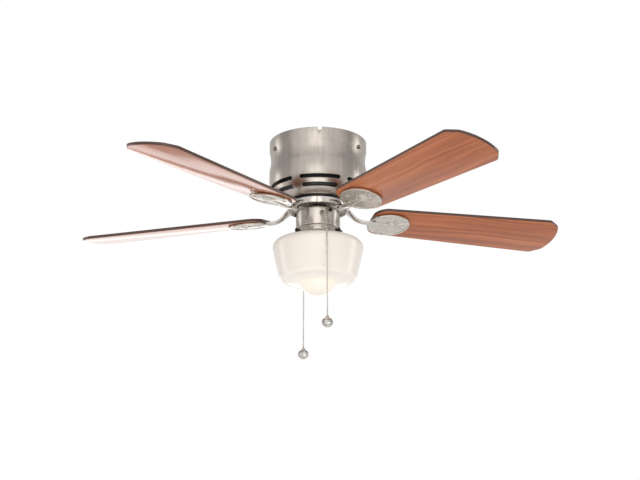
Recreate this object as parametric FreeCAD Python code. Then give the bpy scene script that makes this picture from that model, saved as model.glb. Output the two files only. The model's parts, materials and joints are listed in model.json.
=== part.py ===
"""Flush-mount ceiling fan with five blades, a single-lamp light kit and two pull chains.

Millimetres. The origin is the centre of the ceiling face, +Z points up into the ceiling,
and everything hangs below z = 0. Each sub-part is written to parts/NODE.step.
"""

import math
import os

import FreeCAD, Part

Vec = FreeCAD.Vector
Z_AXIS = Vec(0, 0, 1)
X_AXIS = Vec(1, 0, 0)
ORIGIN = Vec(0, 0, 0)

# ---- driving dimensions -------------------------------------------------------------

# rotor layout
blade_count = 5
blade_phase = 16.4  # direction of the first blade, degrees from +X
blade_tip_r = 533.4  # half of the 42 inch sweep
blade_pitch = 12.0  # degrees, the clockwise edge (from above) is the high one
fit_gap = 0.02  # between pieces that are pressed or screwed together
run_gap = 0.6  # least gap between pieces that move past each other
over = 1.0  # how far a cutter runs past the face it opens

# ceiling bracket and motor hanger
bracket_r = 84.0
bracket_t = 2.0
wire_hole_r = 22.0
box_slot_pitch = 88.9  # outlet-box screws, 3 1/2 inches apart
box_slot_r = 2.6
box_slot_length = 12.0
tab_width = 18.0
tab_drop = 36.0
tab_root = 4.0  # how far a tab's strip laps onto the disc
post_count = 4
post_r = 4.0
post_length = 26.0
post_ring_r = 56.0
hanger_t = 3.0
hanger_margin = 12.0
hanger_window_half = 22.0  # degrees
hanger_window_gap = 8.0  # shaft flange to window
grommet_r = 8.0
grommet_neck_r = 4.8
grommet_t = 2.0
hanger_screw_r = 2.4
hanger_screw_head_r = 4.8
hanger_screw_head_t = 3.0
hanger_screw_bite = 12.0  # thread above the hanger plate
terminal_length = 32.0
terminal_width = 14.0
terminal_height = 11.0
terminal_y = 40.0
terminal_pitch = 10.0
terminal_bore_r = 2.2
terminal_bore_depth = 6.0

# motor housing shell
housing_r = 102.0
housing_wall = 1.2
housing_screw_drop = 27.0
housing_screw_angles = (-153.0, -33.0, 87.0)
housing_screw_head_r = 4.4
housing_screw_reach = 6.0
rim_notch_width = 9.0
rim_notch_depth = 5.0
rim_notch_angles = (-88.0, 32.0, 152.0)
rim_drop = 20.0  # plain rim above the shallow waist
waist_drop = 64.0  # foot of the waist
waist_depth = 3.0
bowl_depth = 50.0
bowl_inset = 4.0
lip_above_ring = 3.3
mouth_gap = 6.0
slot_count = 6
slot_phase = -87.4
slot_rows = ((28.9, 8.0, 50.0), (13.5, 7.2, 47.0))  # height above the lip, slot height, span in degrees

# motor
shaft_r = 7.5
shaft_bore_r = 4.4
shaft_flange = 6.5
shaft_flange_t = 4.0
nut_wall = 5.0
nut_t = 7.0
motor_top_gap = 11.0
motor_height = 86.0
can_overhang = 3.2  # how far the can is wider than the bowl at its screw heads
can_wall = 3.0
can_chamfer = 10.0
bearing_width = 11.0
bearing_depth = 10.0
bearing_ring_t = 3.2
bearing_ball_r = 2.6
bearing_ball_count = 8
bearing_boss_t = 4.0
core_height = 24.0
core_ring_t = 16.5
air_gap = 0.5
stator_yoke_r = 30.0
stator_slot_count = 12
stator_slot_width = 7.0
stator_mouth_width = 2.4
stator_tooth_tip = 4.0
winding_gap = 0.5  # winding to core
end_turn_height = 14.0
end_turn_side = 4.0
rotor_screw_r = 2.0
rotor_screw_inset = 5.5
rotor_screw_head_r = 3.6
rotor_screw_head_t = 2.4
land_r = 4.8  # pillars between the covers and the core
vent_r = 5.0
vent_ring_r = 40.0
vent_count = 12
flywheel_t = 9.0
flywheel_step = 6.0  # flywheel radius inside the arm ring
flywheel_bore_gap = 14.0

# blade arms
arm_ring_r = 64.0
arm_ring_height = 13.0
arm_ring_wall = 2.5
arm_plate_t = 4.0
arm_joint_gap = 0.8
arm_bore_r = 22.0
arm_screw_ring_r = 44.0
arm_screw_angle = 20.0
arm_screw_r = 2.4
arm_screw_head_r = 4.4
arm_screw_head_t = 3.0
strap_t = 6.5
strap_root_half = 14.0
strap_waist_half = 7.5
strap_pad_half = 15.0
pad_root_r = 111.0
pad_length = 88.0
pad_width = 80.0
pad_t = 3.2
pad_rim_t = 1.6
pad_rim_width = 3.5
pad_widest = 54.6  # from the pad root to its widest place
boss_reach = 51.0  # from the pad root to the boss
boss_r = 13.0
boss_t = 2.4
hub_boss_r = 6.0
hub_boss_t = 1.6
rib_width = 9.0
driver_slot = 1.2  # width of the slots and crosses in screw heads

# blades
blade_drop = 22.0  # blade mid-plane below the top of the arm ring
blade_root_r = 115.0
blade_root_width = 101.0
blade_tip_width = 132.0
blade_t = 6.0
root_end_width = 46.0
root_corner_length = 34.0
tip_corner_length = 22.0
tip_corner_width = 18.0
tip_crown = 10.0
tip_corner_round = 14.0
washer_t = 1.0
washer_r = 7.0
blade_screw_r = 2.4
blade_screw_head_r = 5.2
blade_screw_head_t = 2.6
blade_screw_places = ((30.0, 24.0), (30.0, -24.0), (74.0, 0.0))  # from the pad root, across

# switch housing
ring_gap = 2.5
switch_r = 46.0
switch_wall = 1.0
switch_height = 38.5
plate_t = 2.0
plate_flange = 11.0
plate_screw_drop = 6.6  # side screws below the top of the switch housing
side_screw_angles = (-176.0, -56.0, 64.0)
side_screw_r = 1.9
side_screw_head_r = 3.6
side_screw_head_t = 2.4
side_screw_reach = 4.5
speed_angle = -79.0
light_angle = 108.0
switch_box_depth = 20.0
switch_box_width = 18.0
switch_box_height = 20.0
switch_hub_r = 3.5
bushing_drop = 15.5  # below the top of the switch housing
bushing_r = 4.0
bushing_flange_r = 5.8
bushing_flange_t = 2.3
bushing_reach = 7.0
bushing_nose = 2.0  # length of the tapered end
bushing_bore_r = 2.1
reverse_angle = 146.0
reverse_drop = 9.0
reverse_travel = 4.0
knob_width = 4.6
knob_height = 4.6
knob_reach = 3.2
reverse_body_depth = 9.0
reverse_body_width = 15.0
reverse_pocket = 4.0
capacitor_size = (22.0, 32.0, 22.0)
capacitor_angle = 8.0
capacitor_round = 2.0

# light fitter, lamp and glass
fitter_height = 13.0
fitter_wall = 1.2
fitter_rim_t = 1.4
neck_r = 41.3  # 3 1/4 inch fitter neck
neck_lip = 2.6
neck_lip_t = 2.2
neck_gap = 1.3
neck_length = 9.6
glass_r = 94.0
glass_wall = 3.0
pole_flat = 2.0  # small flat where a turned glass meets the axis
shoulder_rise = 24.0  # widest ring below the shoulder's foot
body_height = 62.0  # widest ring to the lower bend
foot_r = 80.5
foot_drop = 9.0
nub_r = 38.0
nub_drop = 6.5
nub_height = 24.0
thumb_count = 3
thumb_phase = -151.0
thumb_drop = 7.0
thumb_r = 1.9
thumb_head_r = 4.6
thumb_head_t = 4.0
thumb_neck = 2.0
thumb_tip_gap = 0.15  # tip to glass neck
knurl_r = 0.55
knurl_count = 12
nipple_r = 4.8
nipple_bore_r = 3.4
nipple_length = 16.0
nipple_nut_r = 8.5
nipple_nut_t = 3.0
holder_r = 18.0
holder_height = 34.0
holder_roof = 7.4
holder_wall = 4.2
holder_rim_t = 1.2
holder_rim_h = 3.0
cap_r = 13.3
cap_height = 26.0
cap_contact_r = 4.5
cap_thread = 1.2  # depth of the rolled thread
cap_pitch = 3.6
lamp_r = 24.0
lamp_length = 61.0
lamp_knee = 59.0  # degrees from the lamp's axis to where the round part starts
lamp_flank = 1.0  # hollow of the tapered part
lamp_lead_pitch = 3.0

# pull chains: (distance from the fan axis, height), the same in each chain's own upright plane
chain_d = 3.2
chain_top = [
    (43.5, -168.0),
    (55.5, -168.0),
    (65.5, -174.6),
    (76.0, -187.0),
    (88.5, -204.5),
    (99.0, -226.0),
]
speed_chain_end = -400.0
light_chain_end = -419.0
chain_split = -250.0  # the stretch below this height moves with the pull
pendant_r = 12.0
pendant_height = 21.0
pendant_collar_r = 3.4
pendant_collar_h = 4.0
pendant_facets = 12
lead_r = 0.9
lead_spread = 2.2  # leads from the shaft's axis, and apart where they cross over

# ---- heights and radii that follow ---------------------------------------------------

hanger_top = -(bracket_t + post_length)
hanger_bottom = hanger_top - hanger_t
motor_top = hanger_bottom - motor_top_gap
motor_bottom = motor_top - motor_height
flywheel_bottom = motor_bottom - flywheel_t
ring_bottom = flywheel_bottom - arm_ring_height
lip_z = flywheel_bottom + lip_above_ring
mouth_r = arm_ring_r + mouth_gap
housing_inner_r = housing_r - housing_wall
waist_z = -(rim_drop + waist_drop) / 2
waist_half = (waist_drop - rim_drop) / 2
waist_arc_r = (waist_half ** 2 + waist_depth ** 2) / (2 * waist_depth)
bowl_r = mouth_r - bowl_inset  # centre of the bowl's quarter ellipse
bowl_half = housing_r - bowl_r
bowl_z = lip_z + bowl_depth * math.sqrt(1 - (bowl_inset / bowl_half) ** 2)
head_drop = (bowl_z - motor_bottom + rotor_screw_head_t) / (bowl_depth - housing_wall)
bowl_r_at_heads = bowl_r + (bowl_half - housing_wall) * math.sqrt(1 - head_drop ** 2)
can_r = bowl_r_at_heads + can_overhang
shaft_flange_r = shaft_r + shaft_flange
nut_r = shaft_r + nut_wall
bearing_r = shaft_r + bearing_depth
can_inner_r = can_r - can_wall
core_outer_r = can_inner_r - fit_gap
stator_r = core_outer_r - core_ring_t - air_gap
core_mid = (motor_top + motor_bottom) / 2
flywheel_r = arm_ring_r - flywheel_step
rotor_screw_ring_r = stator_r + air_gap + rotor_screw_inset
blade_z = flywheel_bottom - blade_drop
blade_angles = [blade_phase + 360.0 / blade_count * n for n in range(blade_count)]
pad_top = blade_t / 2 + washer_t  # below the blade mid-plane, in the pitched frame

switch_top = ring_bottom - ring_gap
switch_bottom = switch_top - switch_height
plate_r = switch_r - switch_wall - fit_gap
side_screw_z = switch_top - plate_screw_drop
bushing_z = switch_top - bushing_drop
fitter_top = switch_bottom - fit_gap
fitter_bottom = fitter_top - fitter_height
lip_r = neck_r + neck_lip
fitter_inner_r = lip_r + neck_gap
fitter_r = fitter_inner_r + fitter_wall
thumb_z = fitter_top - thumb_drop
lip_bottom = thumb_z + thumb_r + fit_gap  # the lip rests on the thumb screws
neck_top = lip_bottom + neck_lip_t
neck_bottom = lip_bottom - neck_length
widest_z = neck_bottom - shoulder_rise
foot_z = widest_z - body_height
nub_z = foot_z - foot_drop - nub_drop
glass_bottom = nub_z - nub_height
holder_top = fitter_top - fitter_wall - nipple_nut_t
holder_bottom = holder_top - holder_height
holder_floor = holder_top - holder_roof
lamp_top = holder_floor - 1.5


# ---- small shape helpers --------------------------------------------------------------

def cylinder(r, z_low, z_high, x=0.0, y=0.0):
    return Part.makeCylinder(r, z_high - z_low, Vec(x, y, z_low), Z_AXIS)


def ring(r_out, r_in, z_low, z_high, x=0.0, y=0.0):
    return cylinder(r_out, z_low, z_high, x, y).cut(cylinder(r_in, z_low - over, z_high + over, x, y))


def block(x0, x1, y0, y1, z0, z1):
    return Part.makeBox(x1 - x0, y1 - y0, z1 - z0, Vec(x0, y0, z0))


def hexagon_nut(r, z_low, z_high, bore_r):
    turns = [math.radians(60 * n) for n in range(7)]
    corners = [Vec(r * math.cos(a), r * math.sin(a), z_low) for a in turns]
    body = Part.Face(Part.makePolygon(corners)).extrude(Vec(0, 0, z_high - z_low))
    return body.cut(cylinder(bore_r, z_low - over, z_high + over))


def edge_chain(points, place):
    """Edges through points; an item ("arc", middle, end) is an arc from the point before it."""
    edges = []
    last = place(*points[0])
    for item in points[1:]:
        if item[0] == "arc":
            end = place(*item[2])
            edges.append(Part.Arc(last, place(*item[1]), end).toShape())
        else:
            end = place(*item)
            edges.append(Part.LineSegment(last, end).toShape())
        last = end
    return edges


def closed_face(points, place):
    first = points[0]
    last = points[-1][2] if points[-1][0] == "arc" else points[-1]
    closing = [] if math.dist(first, last) < 1e-9 else [first]
    return Part.Face(Part.Wire(edge_chain(list(points) + closing, place)))


def lathe(points, angle=360.0):
    """Turns an outline of (radius, height) points about the fan axis."""
    return closed_face(points, lambda r, z: Vec(r, 0, z)).revolve(ORIGIN, Z_AXIS, angle)


def turned(shape, angle):
    copy = shape.copy()
    copy.rotate(ORIGIN, Z_AXIS, angle)
    return copy


def around(shape, angles):
    return [turned(shape, a) for a in angles]


def sector(r_out, r_in, z_low, z_high, half_angle):
    shape = lathe([(r_in, z_low), (r_out, z_low), (r_out, z_high), (r_in, z_high)], 2 * half_angle)
    return turned(shape, -half_angle)


def radial_cylinder(r, x_start, x_end, z, y=0.0):
    return Part.makeCylinder(r, x_end - x_start, Vec(x_start, y, z), X_AXIS)


def tube(points, radius):
    """A round tube along straight runs joined by tangent arcs; each arc is 0.45 of its shorter run."""
    edges, radii = [], []
    last = points[0]
    for before, here, after in zip(points, points[1:], points[2:]):
        into, out = here - before, after - here
        turn = into.getAngle(out)
        reach = 0.45 * min(into.Length, out.Length)
        radii.append(reach / math.tan(turn / 2))
        a = here - into.normalize() * reach
        b = here + out.normalize() * reach
        toward = ((a - here) + (b - here)).normalize()
        centre_gap = math.hypot(reach, radii[-1])
        middle = here + toward * (centre_gap - radii[-1])
        edges += [Part.LineSegment(last, a).toShape(), Part.Arc(a, middle, b).toShape()]
        last = b
    edges.append(Part.LineSegment(last, points[-1]).toShape())
    path = Part.Wire(edges)
    section = Part.Wire([Part.makeCircle(radius, points[0], points[1] - points[0])])
    solid = path.makePipeShell([section], True, False)
    return solid, path.Length, radii


def group(*shapes):
    """Several separate solids as one node."""
    solids = []
    for shape in shapes:
        solids += shape.Solids
    return Part.makeCompound(solids)


# ---- ceiling bracket and hanger --------------------------------------------------------

def ceiling_bracket():
    tab_out = housing_inner_r - waist_depth - run_gap
    tab_half = math.degrees(tab_width / 2 / tab_out)
    body = cylinder(bracket_r, -bracket_t, 0)
    for angle in housing_screw_angles:
        strip = block(bracket_r - tab_root, tab_out - bracket_t, -tab_width / 2, tab_width / 2, -bracket_t, 0)
        tab = sector(tab_out, tab_out - bracket_t, -tab_drop, 0, tab_half)
        hole = radial_cylinder(side_screw_r, tab_out - bracket_t - over, tab_out + over, -housing_screw_drop)
        body = body.fuse(turned(strip.fuse(tab).cut(hole), angle))
    body = body.cut(cylinder(wire_hole_r, -bracket_t - over, over))
    half = box_slot_length / 2 - box_slot_r
    for side in (-1, 1):
        x = side * box_slot_pitch / 2
        for end in (-half, half):
            body = body.cut(cylinder(box_slot_r, -bracket_t - over, over, x + end, 0))
        body = body.cut(block(x - half, x + half, -box_slot_r, box_slot_r, -bracket_t - over, over))
    return body.removeSplitter()


post_angles = [45 + 360 / post_count * n for n in range(post_count)]


def hanger_posts():
    bore_top = hanger_top + hanger_screw_bite + over
    post = cylinder(post_r, hanger_top + grommet_t, -bracket_t, post_ring_r)
    post = post.cut(cylinder(hanger_screw_r + fit_gap, hanger_top, bore_top, post_ring_r))
    return group(*around(post, post_angles))


def grommets():
    bore = hanger_screw_r + fit_gap
    top = ring(grommet_r, bore, hanger_top, hanger_top + grommet_t, post_ring_r)
    bottom = ring(grommet_r, bore, hanger_bottom - grommet_t, hanger_bottom, post_ring_r)
    sleeve = ring(grommet_neck_r, bore, hanger_bottom, hanger_top, post_ring_r)
    return group(*around(top.fuse(bottom).fuse(sleeve).removeSplitter(), post_angles))


def hanger_plate():
    low, high = hanger_bottom - over, hanger_top + over
    body = cylinder(post_ring_r + hanger_margin, hanger_bottom, hanger_top)
    body = body.cut(cylinder(shaft_r + fit_gap, low, high))
    hole = cylinder(grommet_neck_r + fit_gap, low, high, post_ring_r)
    window = sector(post_ring_r, shaft_flange_r + hanger_window_gap, low, high, hanger_window_half)
    for angle in post_angles:
        body = body.cut(turned(hole, angle)).cut(turned(window, angle + 180 / post_count))
    return body


def hanger_screws():
    head_z = hanger_bottom - grommet_t
    screw = cylinder(hanger_screw_r, head_z, hanger_top + hanger_screw_bite, post_ring_r)
    head = cylinder(hanger_screw_head_r, head_z - hanger_screw_head_t, head_z, post_ring_r)
    return group(*around(screw.fuse(head).removeSplitter(), post_angles))


def terminal_block():
    half_x, half_y = terminal_length / 2, terminal_width / 2
    low = -bracket_t - terminal_height
    body = block(-half_x, half_x, terminal_y - half_y, terminal_y + half_y, low, -bracket_t)
    for n in (-1, 0, 1):
        x = n * terminal_pitch
        body = body.cut(cylinder(terminal_bore_r, low - over, low + terminal_bore_depth, x, terminal_y))
    return body


# ---- motor -------------------------------------------------------------------------------

shaft_top = hanger_top + nut_t + 4
shaft_bottom = switch_top - plate_t - nut_t - 2


def motor_shaft():
    body = cylinder(shaft_r, shaft_bottom, shaft_top)
    body = body.fuse(cylinder(shaft_flange_r, hanger_bottom - shaft_flange_t, hanger_bottom))
    return body.cut(cylinder(shaft_bore_r, shaft_bottom - 1, shaft_top + 1)).removeSplitter()


def shaft_nuts():
    bore = shaft_r + fit_gap
    upper = hexagon_nut(nut_r, hanger_top, hanger_top + nut_t, bore)
    jam = hexagon_nut(nut_r, switch_top, switch_top + nut_t, bore)
    lower = hexagon_nut(nut_r, switch_top - plate_t - nut_t, switch_top - plate_t, bore)
    return group(upper, jam, lower)


upper_bearing_top = motor_top - can_wall
lower_bearing_top = motor_bottom + can_wall + bearing_width
bearing_tops = (upper_bearing_top, lower_bearing_top)
bearing_pitch_r = (shaft_r + bearing_r) / 2


def bearing_inner_rings():
    groove = Part.makeTorus(bearing_pitch_r, bearing_ball_r + 0.1, ORIGIN, Z_AXIS)
    rings = []
    for top in bearing_tops:
        race = groove.copy()
        race.translate(Vec(0, 0, top - bearing_width / 2))
        rings.append(ring(shaft_r + bearing_ring_t, shaft_r + fit_gap, top - bearing_width, top).cut(race))
    return group(*rings)


def bearing_outer_rings():
    groove = Part.makeTorus(bearing_pitch_r, bearing_ball_r + 0.1, ORIGIN, Z_AXIS)
    rings = []
    for top in bearing_tops:
        race = groove.copy()
        race.translate(Vec(0, 0, top - bearing_width / 2))
        rings.append(ring(bearing_r, bearing_r - bearing_ring_t, top - bearing_width, top).cut(race))
    return group(*rings)


def bearing_balls():
    balls = []
    for top in bearing_tops:
        ball = Part.makeSphere(bearing_ball_r, Vec(bearing_pitch_r, 0, top - bearing_width / 2))
        balls += around(ball, [360 / bearing_ball_count * n for n in range(bearing_ball_count)])
    return group(*balls)


slot_angles = [360 / stator_slot_count * n for n in range(stator_slot_count)]


def stator_core():
    z0, z1 = core_mid - core_height / 2, core_mid + core_height / 2
    half, mouth_half = stator_slot_width / 2, stator_mouth_width / 2
    body = ring(stator_r, shaft_r + fit_gap, z0, z1)
    pocket = block(stator_yoke_r, stator_r - stator_tooth_tip, -half, half, z0 - over, z1 + over)
    mouth = block(stator_yoke_r, stator_r + over, -mouth_half, mouth_half, z0 - over, z1 + over)
    for shape in around(pocket.fuse(mouth), slot_angles):
        body = body.cut(shape)
    return body


def stator_windings():
    """Bars in the slots, joined above and below the core by domed end turns."""
    z0, z1 = core_mid - core_height / 2, core_mid + core_height / 2
    r_out = stator_r - stator_tooth_tip - winding_gap
    r_in = stator_yoke_r + winding_gap
    middle = (r_in + r_out) / 2

    def end_turns(z_core, up):
        z_side = z_core + up * end_turn_side
        top = ("arc", (middle, z_core + up * end_turn_height), (r_in, z_side))
        return lathe([(r_in, z_core), (r_out, z_core), (r_out, z_side), top])

    body = end_turns(z1, 1).fuse(end_turns(z0, -1))
    half = stator_slot_width / 2 - winding_gap
    bar = block(r_in + winding_gap, r_out - winding_gap, -half, half, z0 - over, z1 + over)
    for shape in around(bar, slot_angles):
        body = body.fuse(shape)
    return body.removeSplitter()


def rotor_core():
    body = ring(core_outer_r, stator_r + air_gap, core_mid - core_height / 2, core_mid + core_height / 2)
    bore = cylinder(rotor_screw_r + fit_gap, motor_bottom, motor_top, rotor_screw_ring_r)
    for shape in around(bore, post_angles):
        body = body.cut(shape)
    return body


def rotor_cover(z_end, z_open):
    """One half of the rotor can: an end plate with a bearing boss, and half of the side wall."""
    up = 1 if z_end > z_open else -1
    inner_end = z_end - up * can_wall
    seat_end = inner_end - up * bearing_width
    corner = can_chamfer + can_wall * math.tan(math.pi / 8)  # the chamfer, moved in by the wall
    outline = [
        (bearing_r - bearing_ring_t, z_end),
        (can_r - can_chamfer, z_end),
        (can_r, z_end - up * can_chamfer),
        (can_r, z_open),
        (can_inner_r, z_open),
        (can_inner_r, z_end - up * corner),
        (can_r - corner, inner_end),
        (bearing_r + bearing_boss_t, inner_end),
        (bearing_r + bearing_boss_t, seat_end),
        (bearing_r + fit_gap, seat_end),
        (bearing_r + fit_gap, inner_end),
        (bearing_r - bearing_ring_t, inner_end),
    ]
    return lathe(outline)


def rotor_upper_cover():
    body = rotor_cover(motor_top, core_mid)
    z_core = core_mid + core_height / 2
    land = cylinder(land_r, z_core, motor_top - over, rotor_screw_ring_r)
    vent = cylinder(vent_r, motor_top - can_wall - over, motor_top + over, vent_ring_r)
    bore = cylinder(rotor_screw_r + fit_gap, core_mid, motor_top - can_wall * 2, rotor_screw_ring_r)
    for shape in around(land, post_angles):
        body = body.fuse(shape)
    for shape in around(vent, [360 / vent_count * n for n in range(vent_count)]):
        body = body.cut(shape)
    for shape in around(bore, post_angles):
        body = body.cut(shape)
    return body.removeSplitter()


def rotor_lower_cover():
    body = rotor_cover(motor_bottom, core_mid - fit_gap)
    z_core = core_mid - core_height / 2
    land = cylinder(land_r, motor_bottom + over, z_core, rotor_screw_ring_r)
    bore = cylinder(rotor_screw_r + fit_gap, motor_bottom - over, core_mid, rotor_screw_ring_r)
    for shape in around(land, post_angles):
        body = body.fuse(shape)
    for shape in around(bore, post_angles):
        body = body.cut(shape)
    return body.removeSplitter()


def rotor_screws():
    shank = cylinder(rotor_screw_r, motor_bottom, motor_top - can_wall * 3, rotor_screw_ring_r)
    head = cylinder(rotor_screw_head_r, motor_bottom - rotor_screw_head_t, motor_bottom, rotor_screw_ring_r)
    return group(*around(shank.fuse(head).removeSplitter(), post_angles))


def flywheel():
    body = ring(flywheel_r, shaft_r + flywheel_bore_gap, flywheel_bottom, motor_bottom)
    hole = cylinder(arm_screw_r + fit_gap, flywheel_bottom - over, motor_bottom - 2 * over, arm_screw_ring_r)
    for angle in blade_angles:
        for side in (-1, 1):
            body = body.cut(turned(hole, angle + side * arm_screw_angle))
    return body


# ---- motor housing -------------------------------------------------------------------------

def bowl_end(offset):
    """Height where the bowl, moved in by offset, meets the mouth."""
    return bowl_z - (bowl_depth - offset) * math.sqrt(1 - (bowl_inset / (bowl_half - offset)) ** 2)


def bowl_edge(offset):
    """The bowl's quarter ellipse as an edge from the wall down to the mouth."""
    a, b = bowl_half - offset, bowl_depth - offset
    major, minor = max(a, b), min(a, b)
    centre = Vec(bowl_r, 0, bowl_z)
    if b >= a:
        ellipse = Part.Ellipse(centre + Vec(0, 0, -major), centre + Vec(minor, 0, 0), centre)
    else:
        ellipse = Part.Ellipse(centre + Vec(major, 0, 0), centre + Vec(0, 0, -minor), centre)
    start = ellipse.parameter(Vec(bowl_r + a, 0, bowl_z))
    end = ellipse.parameter(Vec(mouth_r, 0, bowl_end(offset)))
    low, high = min(start, end), max(start, end)
    if high - low > math.pi:
        low, high = high, low + 2 * math.pi
    return Part.ArcOfEllipse(ellipse, low, high).toShape()


def waist_radius(z):
    """Outside radius of the shell at a height in its shallow waist."""
    return housing_r - waist_depth + waist_arc_r - math.sqrt(waist_arc_r ** 2 - (z - waist_z) ** 2)


def slot_cutter(z, tall, span):
    """A round-ended slot through the bowl."""
    r_in, r_out = mouth_r + 2 * over, housing_r + over
    half = span / 2 - math.degrees(tall / 2 / housing_r)
    cutter = sector(r_out, r_in, z - tall / 2, z + tall / 2, half)
    for end in (-half, half):
        cutter = cutter.fuse(turned(radial_cylinder(tall / 2, r_in, r_out, z), end))
    return cutter


def motor_housing():
    """A spun shell: plain rim, shallow waist, upright wall, and a bowl with rows of slots."""
    r, r_in = housing_r, housing_inner_r
    upright = [
        (r, bowl_z),
        (r, -waist_drop),
        ("arc", (r - waist_depth, waist_z), (r, -rim_drop)),
        (r, 0),
        (r_in, 0),
        (r_in, -rim_drop),
        ("arc", (r_in - waist_depth, waist_z), (r_in, -waist_drop)),
        (r_in, bowl_z),
    ]
    edges = edge_chain(upright, lambda x, z: Vec(x, 0, z))
    ends = [Vec(mouth_r, 0, bowl_end(offset)) for offset in (0.0, housing_wall)]
    mouth = Part.LineSegment(*ends).toShape()
    edges = Part.sortEdges(edges + [bowl_edge(0.0), mouth, bowl_edge(housing_wall)])[0]
    body = Part.Face(Part.Wire(edges)).revolve(ORIGIN, Z_AXIS, 360)
    for height, tall, span in slot_rows:
        cutter = slot_cutter(lip_z + height, tall, span)
        for n in range(slot_count):
            body = body.cut(turned(cutter, slot_phase + 360 / slot_count * n))
    inside, outside = r_in - waist_depth - over, r + over
    for angle in housing_screw_angles:
        hole = radial_cylinder(side_screw_r + fit_gap, inside, outside, -housing_screw_drop)
        body = body.cut(turned(hole, angle))
    half = rim_notch_width / 2
    notch = block(inside, outside, -half, half, -rim_notch_depth + half / 2, over)
    notch = notch.fuse(radial_cylinder(half, inside, outside, -rim_notch_depth + half / 2))
    for angle in rim_notch_angles:
        body = body.cut(turned(notch, angle))
    return body


def side_screw(wall_r, reach, z, head_r, seat):
    """A slotted screw through a round wall, its head seated on the outside shape given."""
    face = wall_r + side_screw_head_t
    shank = radial_cylinder(side_screw_r, wall_r - reach, wall_r + side_screw_head_t / 2, z)
    head = radial_cylinder(head_r, wall_r - side_screw_head_t, face, z).cut(seat)
    half = driver_slot / 2
    slot = block(face - side_screw_head_t / 2, face + over, -half, half, z - head_r, z + head_r)
    return shank.fuse(head).cut(slot).removeSplitter()


def housing_screws():
    r, z = housing_r + fit_gap, -housing_screw_drop
    waist = ("arc", (r - waist_depth, waist_z), (r, -waist_drop))
    seat = lathe([(0, 0), (r, 0), (r, -rim_drop), waist, (0, -waist_drop)])
    screw = side_screw(waist_radius(z), housing_screw_reach, z, housing_screw_head_r, seat)
    return group(*around(screw, housing_screw_angles))


# ---- blade arms ---------------------------------------------------------------------------

def pitched(shape):
    """Moves a shape built about the blade mid-plane (x outward, z up) to the blade's place."""
    copy = shape.copy()
    copy.rotate(ORIGIN, X_AXIS, -blade_pitch)
    copy.translate(Vec(0, 0, blade_z))
    return copy


def flat(points, z_low, z_high):
    return closed_face(points, lambda x, y: Vec(x, y, z_low)).extrude(Vec(0, 0, z_high - z_low))


def pad_outline(inset=0.0):
    """A rounded spade: narrow where the strap joins, widest past the middle."""
    x0, x1 = pad_root_r + inset, pad_root_r + pad_length - inset
    half = pad_width / 2 - inset
    root = strap_pad_half - inset * 0.5
    wide_x = pad_root_r + pad_widest
    return [
        (x0, -root),
        ("arc", (x0 + (wide_x - x0) * 0.42, -half * 0.92), (wide_x, -half)),
        ("arc", (x1 - (x1 - wide_x) * 0.24, -half * 0.62), (x1, 0)),
        ("arc", (x1 - (x1 - wide_x) * 0.24, half * 0.62), (wide_x, half)),
        ("arc", (x0 + (wide_x - x0) * 0.42, half * 0.92), (x0, root)),
    ]


def arm_pad():
    """The plate under the blade, with a raised rim, a rib and a stepped boss."""
    z_top = -pad_top
    z_low = z_top - pad_t
    z_rim = z_low - pad_rim_t
    boss_x = pad_root_r + boss_reach
    body = flat(pad_outline(), z_low, z_top)
    rim = flat(pad_outline(), z_rim, z_low).cut(flat(pad_outline(pad_rim_width), z_rim - over, z_low + over))
    rib = block(pad_root_r, boss_x, -rib_width / 2, rib_width / 2, z_rim, z_low)
    disc = cylinder(boss_r, z_low - boss_t, z_low, boss_x)
    knob = cylinder(hub_boss_r, z_low - boss_t - hub_boss_t, z_low - boss_t, boss_x)
    body = body.fuse(rim).fuse(rib).fuse(disc).fuse(knob)
    z_deep = z_low - boss_t - hub_boss_t - over
    for x, y in blade_screw_places:
        body = body.cut(cylinder(blade_screw_r + fit_gap, z_deep, z_top + over, pad_root_r + x, y))
    return pitched(body.removeSplitter())


def arm_strap():
    """The curved strap from the ring to the pad: its side view and its plan view, intersected."""
    x0, z0 = arm_ring_r - arm_ring_wall, flywheel_bottom - arm_plate_t
    x1, z1 = pad_root_r + 12, blade_z - pad_top - pad_t
    mid = (x0 + (x1 - x0) * 0.28, z0 + (z1 - z0) * 0.80)
    side = [
        (x0, z0),
        ("arc", (mid[0] + strap_t * 0.55, mid[1] + strap_t * 0.45), (x1, z1 + strap_t * 0.6)),
        (x1, z1 - strap_t * 0.4),
        ("arc", (mid[0] - strap_t * 0.45, mid[1] - strap_t * 0.35), (x0, z0 - strap_t)),
    ]
    half = strap_root_half + strap_pad_half
    profile = closed_face(side, lambda x, z: Vec(x, -half, z)).extrude(Vec(0, 2 * half, 0))
    waist = (x0 + x1) / 2
    plan = [
        (x0, -strap_root_half),
        ("arc", (waist, -strap_waist_half), (x1, -strap_pad_half * 0.8)),
        (x1, strap_pad_half * 0.8),
        ("arc", (waist, strap_waist_half), (x0, strap_root_half)),
    ]
    above_pad = pitched(block(pad_root_r - 1, x1 + 1, -half, half, -pad_top, 40))
    return profile.common(flat(plan, z1 - 60, z0 + 60)).cut(above_pad)


def arm_ring_segment():
    half = 180.0 / blade_count - math.degrees(arm_joint_gap / 2 / arm_ring_r)
    plate = sector(arm_ring_r, arm_bore_r, flywheel_bottom - arm_plate_t, flywheel_bottom, half)
    skirt = sector(arm_ring_r, arm_ring_r - arm_ring_wall, ring_bottom, flywheel_bottom, half)
    body = plate.fuse(skirt)
    hole = cylinder(arm_screw_r + fit_gap, ring_bottom, flywheel_bottom + 1, arm_screw_ring_r)
    for side in (-1, 1):
        body = body.cut(turned(hole, side * arm_screw_angle))
    return body


def blade_arm(angle):
    body = arm_ring_segment().fuse(arm_strap()).fuse(arm_pad())
    return turned(body.removeSplitter(), angle)


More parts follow.
